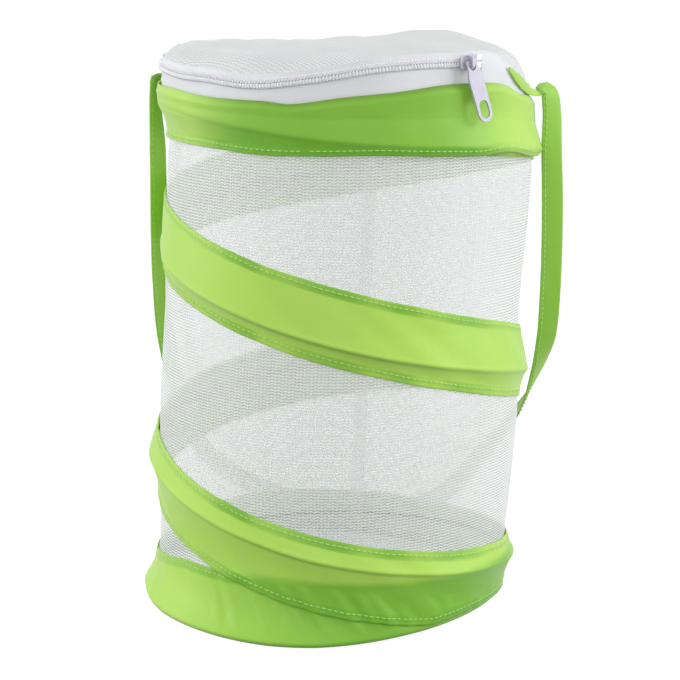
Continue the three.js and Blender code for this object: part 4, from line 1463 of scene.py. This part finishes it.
    def build(self) -> None:
        """Makes the wire, the band and its two rows of stitches."""
        form = self.form
        wire = tube("spiral_spring_steel", self.wire_path(), form.wire_radius, form.wire_sides, SPRING)
        self.dress(wire, Body.BASE, Slot.SPRING, "spiral_spring_wire")
        self.fold_down(wire)

        turns = np.linspace(self.start, self.end, int((self.end - self.start) * self.steps_per_turn))[:, None]
        upper, _, lower = self.edges(turns)
        heights = upper + (lower - upper) * np.linspace(0, 1, self.rows)[None, :]
        grid = place(self.cloth_radius(turns, heights), form.spiral_bearing(turns), heights)
        band = Cloth("spiral_band_cloth", grid, TAFFETA, thickness=self.cloth,
                     layers=self.layers_at(turns, heights), wire=self.wire_and_shade_at(turns, heights)).build()
        self.dress(band, Body.BASE, Slot.GREEN, "spiral_band")
        self.fold_down(band)

        line = turns[:, 0]
        around = form.spiral_bearing(line)
        high, _, low = self.edges(line)
        lines = []
        for seam in (high - self.top_stitch, low + self.low_stitch):
            shown = (seam < form.band_low - 1.0) & (high - low > self.sewn_width)
            path = place(self.cloth_radius(line, seam) + self.cloth / 2, around, seam)
            lines.append((path[shown], place(1.0, around, 0.0)[shown]))
        stitches = StitchLine().build("spiral_band_stitches", lines, GREEN_THREAD)
        self.dress(stitches, Body.BASE, Slot.GREEN)
        self.fold_down(stitches)


@dataclass
class TopBand(SubAssembly):
    """The green band at the top, the top ring in it and its crimp."""

    around: int = 420
    rows: int = 44
    cloth: float = 0.4
    edge_radius: float = 100.7
    over_ring: float = 1.2
    over_spiral: float = 1.5
    low_offset: float = 1.7
    reach_above: float = 22.0
    reach_below: float = 12.0
    ring_sag: float = 1.2
    edge_sag: float = 1.5
    tent_above: float = 1.2
    tent_below: float = 1.6
    pushed_end: float = 0.62
    pushed_fade: float = 0.12
    stitch_rise: float = 2.6
    hem: float = 5.5
    # Faint hem shade is the double hem all round; the strong part is painted shadow in patches across the
    # front
    hem_shade: tuple[float, float] = (0.12, 0.4)
    # Painted shade across the front and over the spiral's first turn, laid in the double green
    front_shade: float = 0.76
    spiral_shade: float = 0.2
    # Painted shadow under the upper edge, and painted shade in the crease along the spiral wire and under the
    # stitches
    edge_mark: float = 2.2
    edge_shade: float = 0.55
    faint_edge: float = 0.1
    crease_mark: float = 1.2
    crease_shade: float = 0.35
    crease_bearing: float = -25.0
    crease_spread: float = 60.0
    seam_mark: float = 0.6
    seam_shade: float = 0.22
    inset_rise: float = 12.0
    crumpled: float = 0.42
    slack: Ripple = Ripple((5, 9, 16, 24), 0.45, SEED + 9)
    slack_slant: float = 0.35
    puckers: Ripple = Ripple((49, 61, 76), 0.28, SEED + 10)
    pucker_lift: float = 0.2
    pucker_reach: float = 5.0
    patches: Ripple = Ripple((8, 13, 21), 1.0, SEED + 11)
    shaded_front: Stretch = Stretch(-46, 30, 70, 34)

    def spiral_share(self, bearing: Any) -> Any:
        """How far round its first turn the spiral is at a bearing."""
        return np.mod(bearing - self.form.spiral_start, 360) / 360

    def pushed_at(self, bearing: Any, height: Any) -> Any:
        """Radius that the spiral's first turn pushes the cloth out to.

        Args:
            bearing: Degrees.
            height: Height on the band.

        Returns:
            The radius.
        """
        form = self.form
        share = self.spiral_share(bearing)
        wire = form.spiral_height(share)
        spot = place(form.wall_radius, bearing, 0.0)
        head = np.clip((wire - form.band_low) / (form.spiral_head - form.band_low), 0, 1)
        wire = wire + form.rim_rise(spot[..., 0], spot[..., 1]) * head
        foot = form.wall_radius + self.low_offset
        ridge = form.spiral_radius(share) + self.over_spiral
        above = np.clip((height - wire) / self.reach_above, 0, 1)
        below = np.clip((wire - height) / self.reach_below, 0, 1)
        tent = np.where(height > wire, (1 - above) ** self.tent_above, (1 - below) ** self.tent_below)
        return foot + (ridge - foot) * tent * smooth((self.pushed_end - share) / self.pushed_fade)

    def radius(self, bearing: Any, height: Any) -> Any:
        """Radius of the band's cloth: over the ring, and over the spiral's first turn behind it.

        Args:
            bearing: Degrees.
            height: Height on the band.

        Returns:
            The radius.
        """
        form = self.form
        top = form.band_top_at(bearing)
        ring = top - form.ring_drop
        low = form.band_low_at(bearing)
        crown = form.ring_radius + self.over_ring
        foot = form.wall_radius + self.low_offset
        down = np.clip((ring - height) / (ring - low), 0, 1)
        up = np.clip((height - ring) / form.ring_drop, 0, 1)
        hung = foot + (crown - foot) * (1 - down) ** self.ring_sag
        own = np.where(height > ring, crown + (self.edge_radius - crown) * up**self.edge_sag, hung)
        slack = self.slack.at(bearing + self.slack_slant * height)
        slack = slack * np.sin(np.pi * np.clip((height - low) / (top - low), 0, 1))
        puckers = (self.puckers.at(bearing) + self.pucker_lift) * near(height - low, self.pucker_reach)
        drawn = form.rim_inset(bearing) * smooth((height - low) / self.inset_rise)
        cloth = np.maximum(own, self.pushed_at(bearing, height)) + slack + puckers
        return cloth + form.lean_at(bearing, height) - drawn

    def draw_up(self, piece: bpy.types.Object) -> None:
        """Gives a piece of the band its own copy of its mesh.

        Args:
            piece: The piece.
        """
        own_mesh(piece)

    def shade(self, bearings: np.ndarray, heights: np.ndarray) -> tuple[np.ndarray, np.ndarray]:
        """Where the cloth takes the double green, for the lower hem and painted shade across the front, and
        where painted shadow under the edge over the ring, in a crease and under the stitches darkens it.

        Args:
            bearings: Degrees.
            heights: Heights on the band.

        Returns:
            Shares of the double green, for double cloth and painted shade, and of painted darkening.
        """
        tops = self.form.band_top_at(bearings)
        lows = self.form.band_low_at(bearings)
        wire = self.form.spiral_height(self.spiral_share(bearings))
        # Stretch of painted shade across the front
        middle = self.shaded_front.at(bearings)
        patch = np.clip(0.5 + self.patches.at(bearings), 0, 1)
        faint, strong = self.hem_shade
        hem = smooth((lows + self.hem - heights) / 0.8) * (faint + strong * patch * middle)
        over_spiral = self.spiral_shade * middle * smooth((wire - heights + 3) / 5)
        layers = np.clip(self.front_shade * middle + over_spiral + hem, 0, 1)
        # Painted shadow under the edge, painted crease shade and painted shade under the stitches
        under_edge = near(tops - heights, self.edge_mark) * (self.faint_edge + (1 - self.faint_edge) * middle)
        crease = near(heights - wire + 0.8, self.crease_mark)
        crease = crease * bump(bearings, self.crease_bearing, self.crease_spread)
        seam = near(heights - lows - self.stitch_rise + 0.9, self.seam_mark)
        marks = self.edge_shade * under_edge + self.crease_shade * crease + self.seam_shade * seam
        return layers, np.clip(marks, 0, 1)

    def build(self) -> None:
        """Makes the band, its stitches and the ring, which takes the place of the ring wire and its crimp."""
        form = self.form
        bearings = np.linspace(0, 360, self.around, endpoint=False)[:, None]
        tops = form.band_top_at(bearings)
        lows = form.band_low_at(bearings)
        heights = tops + (lows - tops) * np.linspace(0, 1, self.rows)[None, :]
        layers, marks = self.shade(bearings, heights)
        band = Cloth("top_band_cloth", place(self.radius(bearings, heights), bearings, heights), TAFFETA,
                     closed=True, thickness=self.cloth, layers=layers, wire=marks).build()
        self.dress(band, Body.TOP_RING, Slot.GREEN, "top_band")
        self.draw_up(band)

        around = bearings[:, 0]
        seam = lows[:, 0] + self.stitch_rise
        outside = self.radius(around, seam) + self.cloth / 2
        stitches = self.sew_round("top_band_stitches", outside, around, seam)
        self.dress(stitches, Body.TOP_RING, Slot.GREEN)
        self.draw_up(stitches)

        ring = place(form.ring_radius - form.rim_inset(around), around, tops[:, 0] - form.ring_drop)
        wire_ring = tube("top_ring_spring_wire", ring, form.wire_radius, form.wire_sides, SPRING, closed=True)
        self.dress(wire_ring, Body.TOP_RING, Slot.SPRING, "top_ring_wire", "top_ring_ferrule")


@dataclass
class RimZip(SubAssembly):
    """The zip round the front of the rim and the plain tape round its back."""

    middle: float = -13.5
    half: float = 66.1
    coil_half: float = 62.4
    tape_radius: float = 99.5
    tape_hidden: float = 7.5
    tape_thickness: float = 0.5
    tape_waves: Ripple = Ripple((7, 12, 20), 0.3, SEED + 12)
    slit: float = 0.06
    coil_gap: float = -0.3
    coil_height: float = 2.95
    coil_depth: float = 1.6
    coil_radius: float = 100.5
    coil_pitch: float = 1.6
    coil_lean: float = 0.35
    coil_squareness: float = 0.7
    points_per_loop: int = 12
    filament: float = 0.58
    filament_sides: int = 6
    upper_tape: float = 4.8
    curl_start: float = 0.7
    front_curl: float = 0.1
    rear_curl: float = 0.9
    stop_gap: float = 0.6
    stop_reach: float = 2.4
    stop_radius: float = 0.9
    stop_sides: int = 10
    stop_bevel: float = 0.25
    slider_bevel: float = 0.3
    tab_bevel: float = 0.35
    rows: int = 16
    across: int = 220

    def coil(self, name: str, side: int) -> bpy.types.Object:
        """Makes one row of the coil, a flattened helix of filament.

        Args:
            name: Name of the piece.
            side: -1 for the lower row and 1 for the upper one.

        Returns:
            The object.
        """
        length = math.radians(2 * self.coil_half) * self.coil_radius
        loops = int(length / self.coil_pitch)
        phase = np.linspace(0, loops, loops * self.points_per_loop + 1)
        around = self.middle - self.coil_half + 2 * self.coil_half * phase / loops
        turn = 2 * np.pi * phase + np.pi / 2 * side
        squared = np.sign(np.sin(turn)) * np.abs(np.sin(turn)) ** self.coil_squareness
        deep = (self.coil_depth / 2 - self.filament) * np.cos(turn)
        out = self.coil_radius - self.form.rim_inset(around) + deep
        level = self.form.zip_at(around) + side * (self.coil_gap + self.coil_height / 2)
        level = level + (self.coil_height / 2 - self.filament) * squared
        lean = self.coil_lean * self.coil_pitch * np.sin(turn) * side
        path = place(out, around + np.degrees(lean / self.coil_radius), level)
        return tube(name, path, self.filament, self.filament_sides, NYLON)

    def tape(
        self, name: str, around: np.ndarray, low: np.ndarray, high: np.ndarray, curl: float
    ) -> bpy.types.Object:
        """Makes a stretch of tape between two heights.

        Args:
            name: Name of the piece.
            around: Bearings along it.
            low: Height of its lower edge at each bearing.
            high: Height of its upper edge.
            curl: How far its upper edge leans in.

        Returns:
            The object.
        """
        shares = np.linspace(0, 1, self.rows)[None, :]
        heights = low[:, None] + (high - low)[:, None] * shares
        wave = self.tape_waves.at(around)[:, None] * np.sin(np.pi * shares)
        leans_in = curl * smooth((shares - self.curl_start) / (1 - self.curl_start))
        radius = self.tape_radius + wave - leans_in - self.form.rim_inset(around)[:, None]
        grid = place(radius, around[:, None], heights)
        return Cloth(name, grid, TAPE, thickness=self.tape_thickness).build()

    def bottom_stop(self) -> None:
        """Crimps the stop over both rows at the zip's left end."""
        form = self.form
        end = self.middle - self.coil_half - self.stop_gap
        level = form.zip_at(end) + self.stop_reach * np.linspace(-1, 1, 9)
        path = place(self.coil_radius - form.rim_inset(end), end, level)
        stop = tube("zip_bottom_stop_crimp", path, self.stop_radius, self.stop_sides, CRIMP)
        self.dress(stop, Body.TOP_RING, Slot.CRIMP, "zip_bottom_stop")

    def build(self) -> None:
        """Makes the tapes and coils, and finishes the metal pieces."""
        form = self.form
        around = np.linspace(self.middle - self.half, self.middle + self.half, self.across)
        middle = form.zip_at(around)
        foot = form.band_top_at(around) - self.tape_hidden
        lower = self.tape("lower_zip_tape_cloth", around, foot, middle - self.slit, 0.0)
        self.dress(lower, Body.TOP_RING, Slot.TAPE, "lower_zip_tape")
        self.dress(self.coil("lower_coil_filament", -1), Body.TOP_RING, Slot.NYLON, "lower_zip_coil")
        upper = self.tape("upper_zip_tape_cloth", around, middle + self.slit, middle + self.upper_tape,
                          self.front_curl)
        self.dress(upper, Body.LID, Slot.TAPE, "upper_zip_tape", "flap_binding")
        self.dress(self.coil("upper_coil_filament", 1), Body.LID, Slot.NYLON, "upper_zip_coil")

        back = np.linspace(self.middle + self.half, self.middle + 360 - self.half, self.across)
        foot = form.band_top_at(back) - self.tape_hidden
        top = form.zip_at(back) + self.upper_tape
        rear = self.tape("rear_rim_tape_cloth", back, foot, top, self.rear_curl)
        self.dress(rear, Body.TOP_RING, Slot.TAPE, "rim_tape_rear", "rim_binding_rear")
        self.bottom_stop()
        for node in ("zip_top_stop_lower", "zip_top_stop_upper"):
            self.finish_node(node, CRIMP, self.stop_bevel)
        self.finish_node("zip_slider_body", ENAMEL, self.slider_bevel)
        self.finish_node("zip_pull_tab", ENAMEL, self.tab_bevel, ENAMEL_EDGE)


@dataclass(frozen=True)
class SlackFold:
    """One slow wave across the slack lid."""

    height: float
    right: float
    back: float
    length: float
    start: float

    def at(self, x: np.ndarray, y: np.ndarray) -> np.ndarray:
        """Height that the fold adds at a place."""
        return self.height * np.sin((x * self.right + y * self.back) / self.length + self.start)


@dataclass
class NetLid(SubAssembly):
    """The slack net lid, which folds back along a line behind the zip."""

    around: int = 360
    rings: int = 72
    ring_spacing: float = 0.75
    middle_hole: float = 0.0005
    rim_radius: float = 99.1
    middle_height: float = 303.5
    tilt_right: float = 0.03
    tilt_back: float = 0.02
    dome: float = 3.0
    fold_fade: float = 0.2
    folds: tuple[SlackFold, ...] = (
        SlackFold(1.0, 0.5, 1.0, 15.0, 0.6), SlackFold(0.8, 1.0, -0.4, 11.0, 2.0),
        SlackFold(0.5, 1.3, 0.9, 7.0, 0.0),
    )
    fine_puckers: Ripple = Ripple((43, 57, 71), 0.35, SEED + 13)
    slow_puckers: Ripple = Ripple((13, 19, 27), 0.6, SEED + 14)
    pucker_gain: float = 2.2
    sewn: float = 3.9
    front_run: float = 17.0
    rear_run: float = 6.0
    front_spread: float = 95.0
    drop_power: float = 2.6
    fold_half: float = 7.0
    fold_rise: float = 3.6
    crest: RoundTable = RoundTable((
        (-170, 306.2), (-159, 303.2), (-147, 303.0), (-132, 298.4), (-118, 301.2), (-106, 303.2),
        (-95, 302.0), (-80, 300.0), (-60, 299.0), (-40, 298.0), (-20, 298.5), (0, 300.0), (20, 303.0),
        (40, 305.0), (55, 305.5), (68, 304.5), (80, 299.5), (90, 293.5), (98, 291.0), (105, 295.5),
        (112, 300.5), (125, 305.4), (140, 310.2), (153, 314.0), (161, 312.8), (172, 310.2), (183, 307.8),
    ))

    def height(self, x: np.ndarray, y: np.ndarray) -> np.ndarray:
        """Height of the lid's net over a place.

        Args:
            x: Place to the right.
            y: Place to the back.

        Returns:
            Heights in millimetres.
        """
        form = self.form
        radius = np.hypot(x, y)
        bearing = np.degrees(np.arctan2(x, -y))
        rim = self.rim_radius - form.rim_inset(bearing)
        share = radius / rim
        middle = self.middle_height + self.tilt_right * x + self.tilt_back * y
        inner = middle + (self.crest.at(bearing) - middle) * share**2 + self.dome * (1 - share**2)
        level = inner + sum(fold.at(x, y) for fold in self.folds) * smooth((1 - share) / self.fold_fade)
        edge = form.zip_at(bearing) + self.sewn
        front = bump(bearing, form.fold_bearing, self.front_spread)
        run = self.rear_run + (self.front_run - self.rear_run) * front
        drop = np.clip((radius - (rim - run)) / run, 0, 1)
        puckers = (self.fine_puckers.at(bearing) + self.slow_puckers.at(bearing)) * drop
        return level + (edge - level) * drop**self.drop_power + puckers * (1 - drop) * self.pucker_gain

    def build(self) -> None:
        """Makes the net and hides the lid's CAD parts."""
        form = self.form
        bearings = np.linspace(0, 360, self.around, endpoint=False)[:, None]
        shares = np.linspace(self.middle_hole, 1, self.rings)[None, :] ** self.ring_spacing
        radius = (self.rim_radius - form.rim_inset(bearings)) * shares
        spots = place(radius, bearings, 0.0)
        points = place(radius, bearings, self.height(spots[..., 0], spots[..., 1]))
        flat = np.concatenate([spots[..., :2], spots[:1, :, :2]])
        lid = Cloth("lid_net", points, LID_NET, closed=True, spread=flat).build()
        fold = place(form.fold_reach, form.fold_bearing, form.lid_seam + self.fold_rise) * MM
        out = place(self.fold_half, form.fold_bearing, 0.0) * MM
        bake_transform(lid)
        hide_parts("lid_mesh_rear", "lid_mesh_flap")
        LOG.info("piece %s bends over the fold line, %d faces", lid.name, len(lid.data.polygons))


@dataclass
class CarryStrap(SubAssembly):
    """The carry strap, which hangs behind the cage, and its two sewn ends."""

    tail_route: tuple[tuple[float, float, float], ...] = (
        (101.0, 65.5, 297.5), (101.1, 71.5, 292.0), (101.4, 79.0, 287.0), (102.6, 85.5, 284.9),
        (104.6, 89.8, 284.5),
    )
    tail_widths: tuple[tuple[float, float], ...] = ((0, 0.6), (0.1, 3.0), (0.35, 5.5), (0.65, 5.0), (1, 8.5))
    tail_steps: int = 40
    tail_turn: tuple[float, float, float] = (-0.7, -0.3, 1.0)
    tail_turn_start: float = 0.6
    tail_cloth: float = 0.4
    tail_layers: float = 0.2
    tail_curl: float = 0.2
    fray: float = 0.08
    fray_waves: float = 31.0
    reach: float = 104.2
    axis_height: float = 284.4
    drop: float = 277.0
    width: float = 11.5
    thickness: float = 0.9
    curl: float = 0.5
    layers: float = 0.55
    stitch_offset: float = 3.9
    stitch_thread: float = 0.28
    steps: int = 260
    columns: int = 13
    keep: float = 0.21
    # Route to the right, to the back and down, as shares of the reach and the drop
    route_shares: tuple[tuple[float, float, float], ...] = (
        (1, 0, 0), (1.015, 0, -0.006), (1.04, 0.004, -0.009), (1.064, 0.012, 0.004), (1.08, 0.03, 0.04),
        (1.087, 0.055, 0.106), (1.102, 0.116, 0.206), (1.112, 0.176, 0.309), (1.113, 0.255, 0.415),
        (1.103, 0.349, 0.501), (1.06, 0.48, 0.58), (0.985, 0.61, 0.66), (0.79, 0.82, 0.78),
        (0.44, 1.02, 0.94), (0, 1.075, 0.985), (-0.5, 0.97, 0.95), (-0.87, 0.74, 0.85),
        (-0.975, 0.49, 0.703), (-1.015, 0.26, 0.548), (-1.015, 0.14, 0.423), (-1.015, 0.09, 0.328),
        (-1.02, 0.045, 0.147), (-1.03, 0.02, 0.07), (-1.032, 0.01, 0.03), (-1.024, 0.004, 0.006),
        (-1.012, 0, 0), (-1, 0, 0),
    )
    # Directions that the outer face looks in, at the same points
    face_shares: tuple[tuple[float, float, float], ...] = (
        (0, -0.3, 1), (0, -0.4, 1), (0.1, -0.5, 1), (0.4, -0.7, 0.7), (0.7, -0.9, 0.3),
        (0.5, -1, 0), (0.2, -1, 0), (0.2, -1, 0), (0.2, -1, 0),
        (0.4, -0.9, 0), (0.8, -0.6, 0), (1, -0.1, 0), (0.85, 0.5, 0),
        (0.45, 0.9, 0), (0, 1, 0), (-0.45, 0.9, 0), (-0.75, 0.7, 0),
        (-0.8, 0.65, 0), (-0.8, 0.62, 0), (-0.8, 0.6, 0), (-0.8, 0.58, 0),
        (-0.85, 0.5, 0), (-1, 0.25, 0.1), (-0.9, 0.1, 0.5), (-0.2, 0, 1),
        (0, 0, 1), (0, 0, 1),
    )

    @staticmethod
    def curve(rows: np.ndarray, count: int) -> np.ndarray:
        """Lays a smooth curve through points, spaced by its length.

        Args:
            rows: Points to pass through.
            count: Points on the curve.

        Returns:
            The points on the curve.
        """
        spans = np.maximum(np.linalg.norm(np.diff(rows, axis=0), axis=1), 1e-6) ** 0.5
        knots = np.concatenate([[0], np.cumsum(spans)])
        slopes = np.gradient(rows, knots, axis=0)
        spots = np.linspace(0, knots[-1], count * 4)
        before = np.clip(np.searchsorted(knots, spots, side="right") - 1, 0, len(knots) - 2)
        after = before + 1
        span = (knots[after] - knots[before])[:, None]
        share = (spots[:, None] - knots[before][:, None]) / span
        line = hermite((rows[before], rows[after]), (slopes[before], slopes[after]), span, share)
        run = np.concatenate([[0], np.cumsum(np.linalg.norm(np.diff(line, axis=0), axis=1))])
        even = np.linspace(0, run[-1], count)
        return np.stack([np.interp(even, run, line[:, k]) for k in range(3)], axis=1)

    def ribbon(
        self, path: np.ndarray, faces: np.ndarray, width: np.ndarray, curl: float
    ) -> tuple[np.ndarray, np.ndarray, np.ndarray]:
        """Widens a path to a ribbon.

        Args:
            path: Middle line.
            faces: Directions that the ribbon's outside faces.
            width: Width at each point.
            curl: How far the edges bend in.

        Returns:
            Grid of points, the across vectors and the outward vectors.
        """
        along = np.gradient(path, axis=0)
        along /= np.linalg.norm(along, axis=1, keepdims=True)
        across = np.cross(along, faces)
        across /= np.linalg.norm(across, axis=1, keepdims=True)
        out = np.cross(across, along)
        shares = np.linspace(-1, 1, self.columns)
        grid = (path[:, None] + across[:, None] * shares[None, :, None] * width[:, None, None] / 2
                - out[:, None] * (curl * shares**2)[None, :, None])
        return grid, across, out

    def drop_down(self, piece: bpy.types.Object) -> None:
        """Gives a piece of the strap its own copy of its mesh."""
        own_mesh(piece)

    def build(self) -> None:
        """Makes the strap, its stitches and its sewn ends."""
        route = np.array([
            (self.reach * right, self.reach * back, self.axis_height - self.drop * down)
            for right, back, down in self.route_shares
        ])
        path = self.curve(route, self.steps)
        lengths = np.concatenate([[0], np.cumsum(np.linalg.norm(np.diff(route, axis=0), axis=1))])
        spots = np.linspace(0, lengths[-1], self.steps)
        table = np.array(self.face_shares, float)
        faces = np.stack([np.interp(spots, lengths, table[:, k]) for k in range(3)], axis=1)
        grid, across, out = self.ribbon(path, faces, np.full(self.steps, self.width), self.curl)
        strap = Cloth("carry_strap_cloth", grid, TAFFETA, thickness=self.thickness,
                      layers=np.full(grid.shape[:2], self.layers)).build()
        self.dress(strap, Body.STRAP, Slot.GREEN, "carry_strap")
        self.drop_down(strap)
        lines = [(path + across * self.stitch_offset + out * face * (self.thickness / 2), out * face)
                 for face in (1, -1)]
        stitches = StitchLine(thread=self.stitch_thread).build("carry_strap_stitches", lines, GREEN_THREAD)
        self.dress(stitches, Body.STRAP, Slot.GREEN)
        self.drop_down(stitches)
        self.finish_node("strap_end_left", WEBBING)
        self.tail()

    def tail(self) -> None:
        """Makes the right sewn end, whose frayed tail lies on the rim tape."""
        radius, bearing, height = np.array(self.tail_route, float).T
        path = self.curve(place(radius, bearing, height), self.tail_steps)
        share = np.linspace(0, 1, self.tail_steps)
        out = path * [1, 1, 0] / np.linalg.norm(path[:, :2], axis=1)[:, None]
        turned = smooth((share - self.tail_turn_start) / (1 - self.tail_turn_start))[:, None]
        faces = out + turned * np.array(self.tail_turn)
        places, widths = np.array(self.tail_widths).T
        width = np.interp(share, places, widths) * (1 + self.fray * np.sin(self.fray_waves * share))
        grid, _, _ = self.ribbon(path, faces, width, self.tail_curl)
        cloth = Cloth("strap_end_right_cloth", grid, TAFFETA, thickness=self.tail_cloth,
                      layers=np.full(grid.shape[:2], self.tail_layers)).build()
        self.dress(cloth, Body.TOP_RING, Slot.GREEN, "strap_end_right")


@dataclass(frozen=True)
class Softbox:
    """A square soft lamp: where it hangs and its side in metres, and its power in watts."""

    name: str
    spot: tuple[float, float, float]
    side: float
    power: float


@dataclass
class Studio:
    """Camera, floor and lamps, none of them part of the cage."""

    camera_distance: float = 959.2
    camera_height: float = 324.3
    camera_side: float = 2.7
    pitch: float = 10.76
    roll: float = 2.23
    azimuth: float = 10.0
    focal_pixels: float = 1750.0
    frame_pixels: float = 680.0
    sensor: float = 36.0
    near_clip: float = 0.01
    far_clip: float = 50.0
    floor_size: float = 6000.0
    floor_drop: float = 0.2
    floor_glow: float = 0.9
    floor_grey: float = 0.3
    world_light: float = 0.55
    lamp_aim: tuple[float, float, float] = (0.0, 0.0, 0.15)
    lamps: tuple[Softbox, ...] = (
        Softbox("left_softbox", (-1.25, -0.25, 0.55), 0.9, 7.5),
        Softbox("right_softbox", (1.25, 0.0, 0.6), 0.9, 8.5),
        Softbox("front_fill", (0.1, -1.6, 0.9), 1.0, 6.6),
        Softbox("top_light", (0.0, 0.4, 1.5), 1.0, 2.6),
    )

    def camera(self) -> None:
        """Sets the camera at the photograph's viewing angle."""
        turn = math.radians(self.azimuth)
        tip = math.radians(self.pitch)
        lean = math.radians(self.roll)
        right = np.array([math.cos(turn), math.sin(turn), 0.0])
        ahead = np.array([-math.sin(turn), math.cos(turn), 0.0])
        up = np.array([0.0, 0.0, 1.0])
        look = ahead * math.cos(tip) - up * math.sin(tip)
        over = ahead * math.sin(tip) + up * math.cos(tip)
        axes = np.stack([
            right * math.cos(lean) + over * math.sin(lean),
            over * math.cos(lean) - right * math.sin(lean),
            -look,
        ], axis=1)
        spot = (right * self.camera_side - ahead * self.camera_distance + up * self.camera_height) * MM
        data = bpy.data.cameras.new("camera")
        data.sensor_width = self.sensor
        data.lens = self.sensor * self.focal_pixels / self.frame_pixels
        data.clip_start = self.near_clip
        data.clip_end = self.far_clip
        camera = bpy.data.objects.new("camera", data)
        camera.matrix_world = Matrix([[*axes[i].tolist(), float(spot[i])] for i in range(3)] + [[0, 0, 0, 1]])
        bpy.context.scene.collection.objects.link(camera)
        bpy.context.scene.camera = camera

    @staticmethod
    def showing_rays(tree: bpy.types.NodeTree) -> bpy.types.NodeSocket:
        """Finds the rays that show the background: the camera's, and those in gloss and glass.

        Args:
            tree: Node tree that asks.

        Returns:
            A socket that is 1 for those rays.
        """
        rays = add(tree, "ShaderNodeLightPath")
        seen = add(tree, "ShaderNodeMath", {
            0: rays.outputs["Is Camera Ray"], 1: rays.outputs["Is Glossy Ray"],
        }, operation="MAXIMUM")
        shown = add(tree, "ShaderNodeMath", {
            0: seen, 1: rays.outputs["Is Transmission Ray"],
        }, operation="MAXIMUM")
        return shown.outputs[0]

    def floor(self) -> None:
        """Lays a pale floor that looks white and keeps the cage's shadow."""
        half = self.floor_size / 2 * MM
        low = -self.floor_drop * MM
        grey = self.floor_grey
        material = bpy.data.materials.new("white_floor")
        material.use_nodes = True
        tree = material.node_tree
        tree.nodes.clear()
        bright = add(tree, "ShaderNodeMath", {0: self.showing_rays(tree), 1: self.floor_glow},
                     operation="MULTIPLY")
        glow = add(tree, "ShaderNodeEmission", {"Color": (1, 1, 1, 1), "Strength": bright})
        matt = add(tree, "ShaderNodeBsdfDiffuse", {"Color": (grey, grey, grey, 1)})
        both = add(tree, "ShaderNodeAddShader", {0: glow, 1: matt})
        add(tree, "ShaderNodeOutputMaterial", {"Surface": both})
        corners = [(x * half, y * half, low) for x, y in ((-1, -1), (1, -1), (1, 1), (-1, 1))]
        mesh = bpy.data.meshes.new("studio_floor")
        mesh.from_pydata(corners, [], [(0, 1, 2, 3)])
        mesh.materials.append(material)
        floor = bpy.data.objects.new("studio_floor", mesh)
        bpy.context.scene.collection.objects.link(floor)

    def world(self) -> None:
        """Gives a soft even light from all round, and white behind the cage."""
        world = bpy.data.worlds.new("studio_world")
        world.use_nodes = True
        tree = world.node_tree
        tree.nodes.clear()
        strength = add(tree, "ShaderNodeMapRange", {
            "Value": self.showing_rays(tree), "To Min": self.world_light, "To Max": 1.0,
        })
        back = add(tree, "ShaderNodeBackground", {"Color": (1, 1, 1, 1), "Strength": strength})
        add(tree, "ShaderNodeOutputWorld", {"Surface": back})
        bpy.context.scene.world = world

    def lamp(self, box: Softbox) -> None:
        """Hangs a soft lamp that faces the middle of the cage.

        Args:
            box: The lamp.
        """
        data = bpy.data.lights.new(box.name, "AREA")
        data.shape = "SQUARE"
        data.size = box.side
        data.energy = box.power
        lamp = bpy.data.objects.new(box.name, data)
        lamp.location = box.spot
        lamp.rotation_mode = "QUATERNION"
        lamp.rotation_quaternion = (Vector(self.lamp_aim) - Vector(box.spot)).to_track_quat("-Z", "Y")
        bpy.context.scene.collection.objects.link(lamp)

    def build(self) -> None:
        """Sets up the whole studio."""
        self.camera()
        self.floor()
        self.world()
        for box in self.lamps:
            self.lamp(box)
        bpy.context.scene.view_settings.view_transform = "Standard"


def main() -> None:
    """Builds the studio and the cage's sub-assemblies in order."""
    logging.basicConfig(level=logging.INFO, format="%(name)s: %(message)s")
    Studio().build()
    NetWall().build()
    BottomEnd().build()
    SpiralSpring().build()
    TopBand().build()
    RimZip().build()
    NetLid().build()
    CarryStrap().build()


if __name__ == "__main__":
    main()
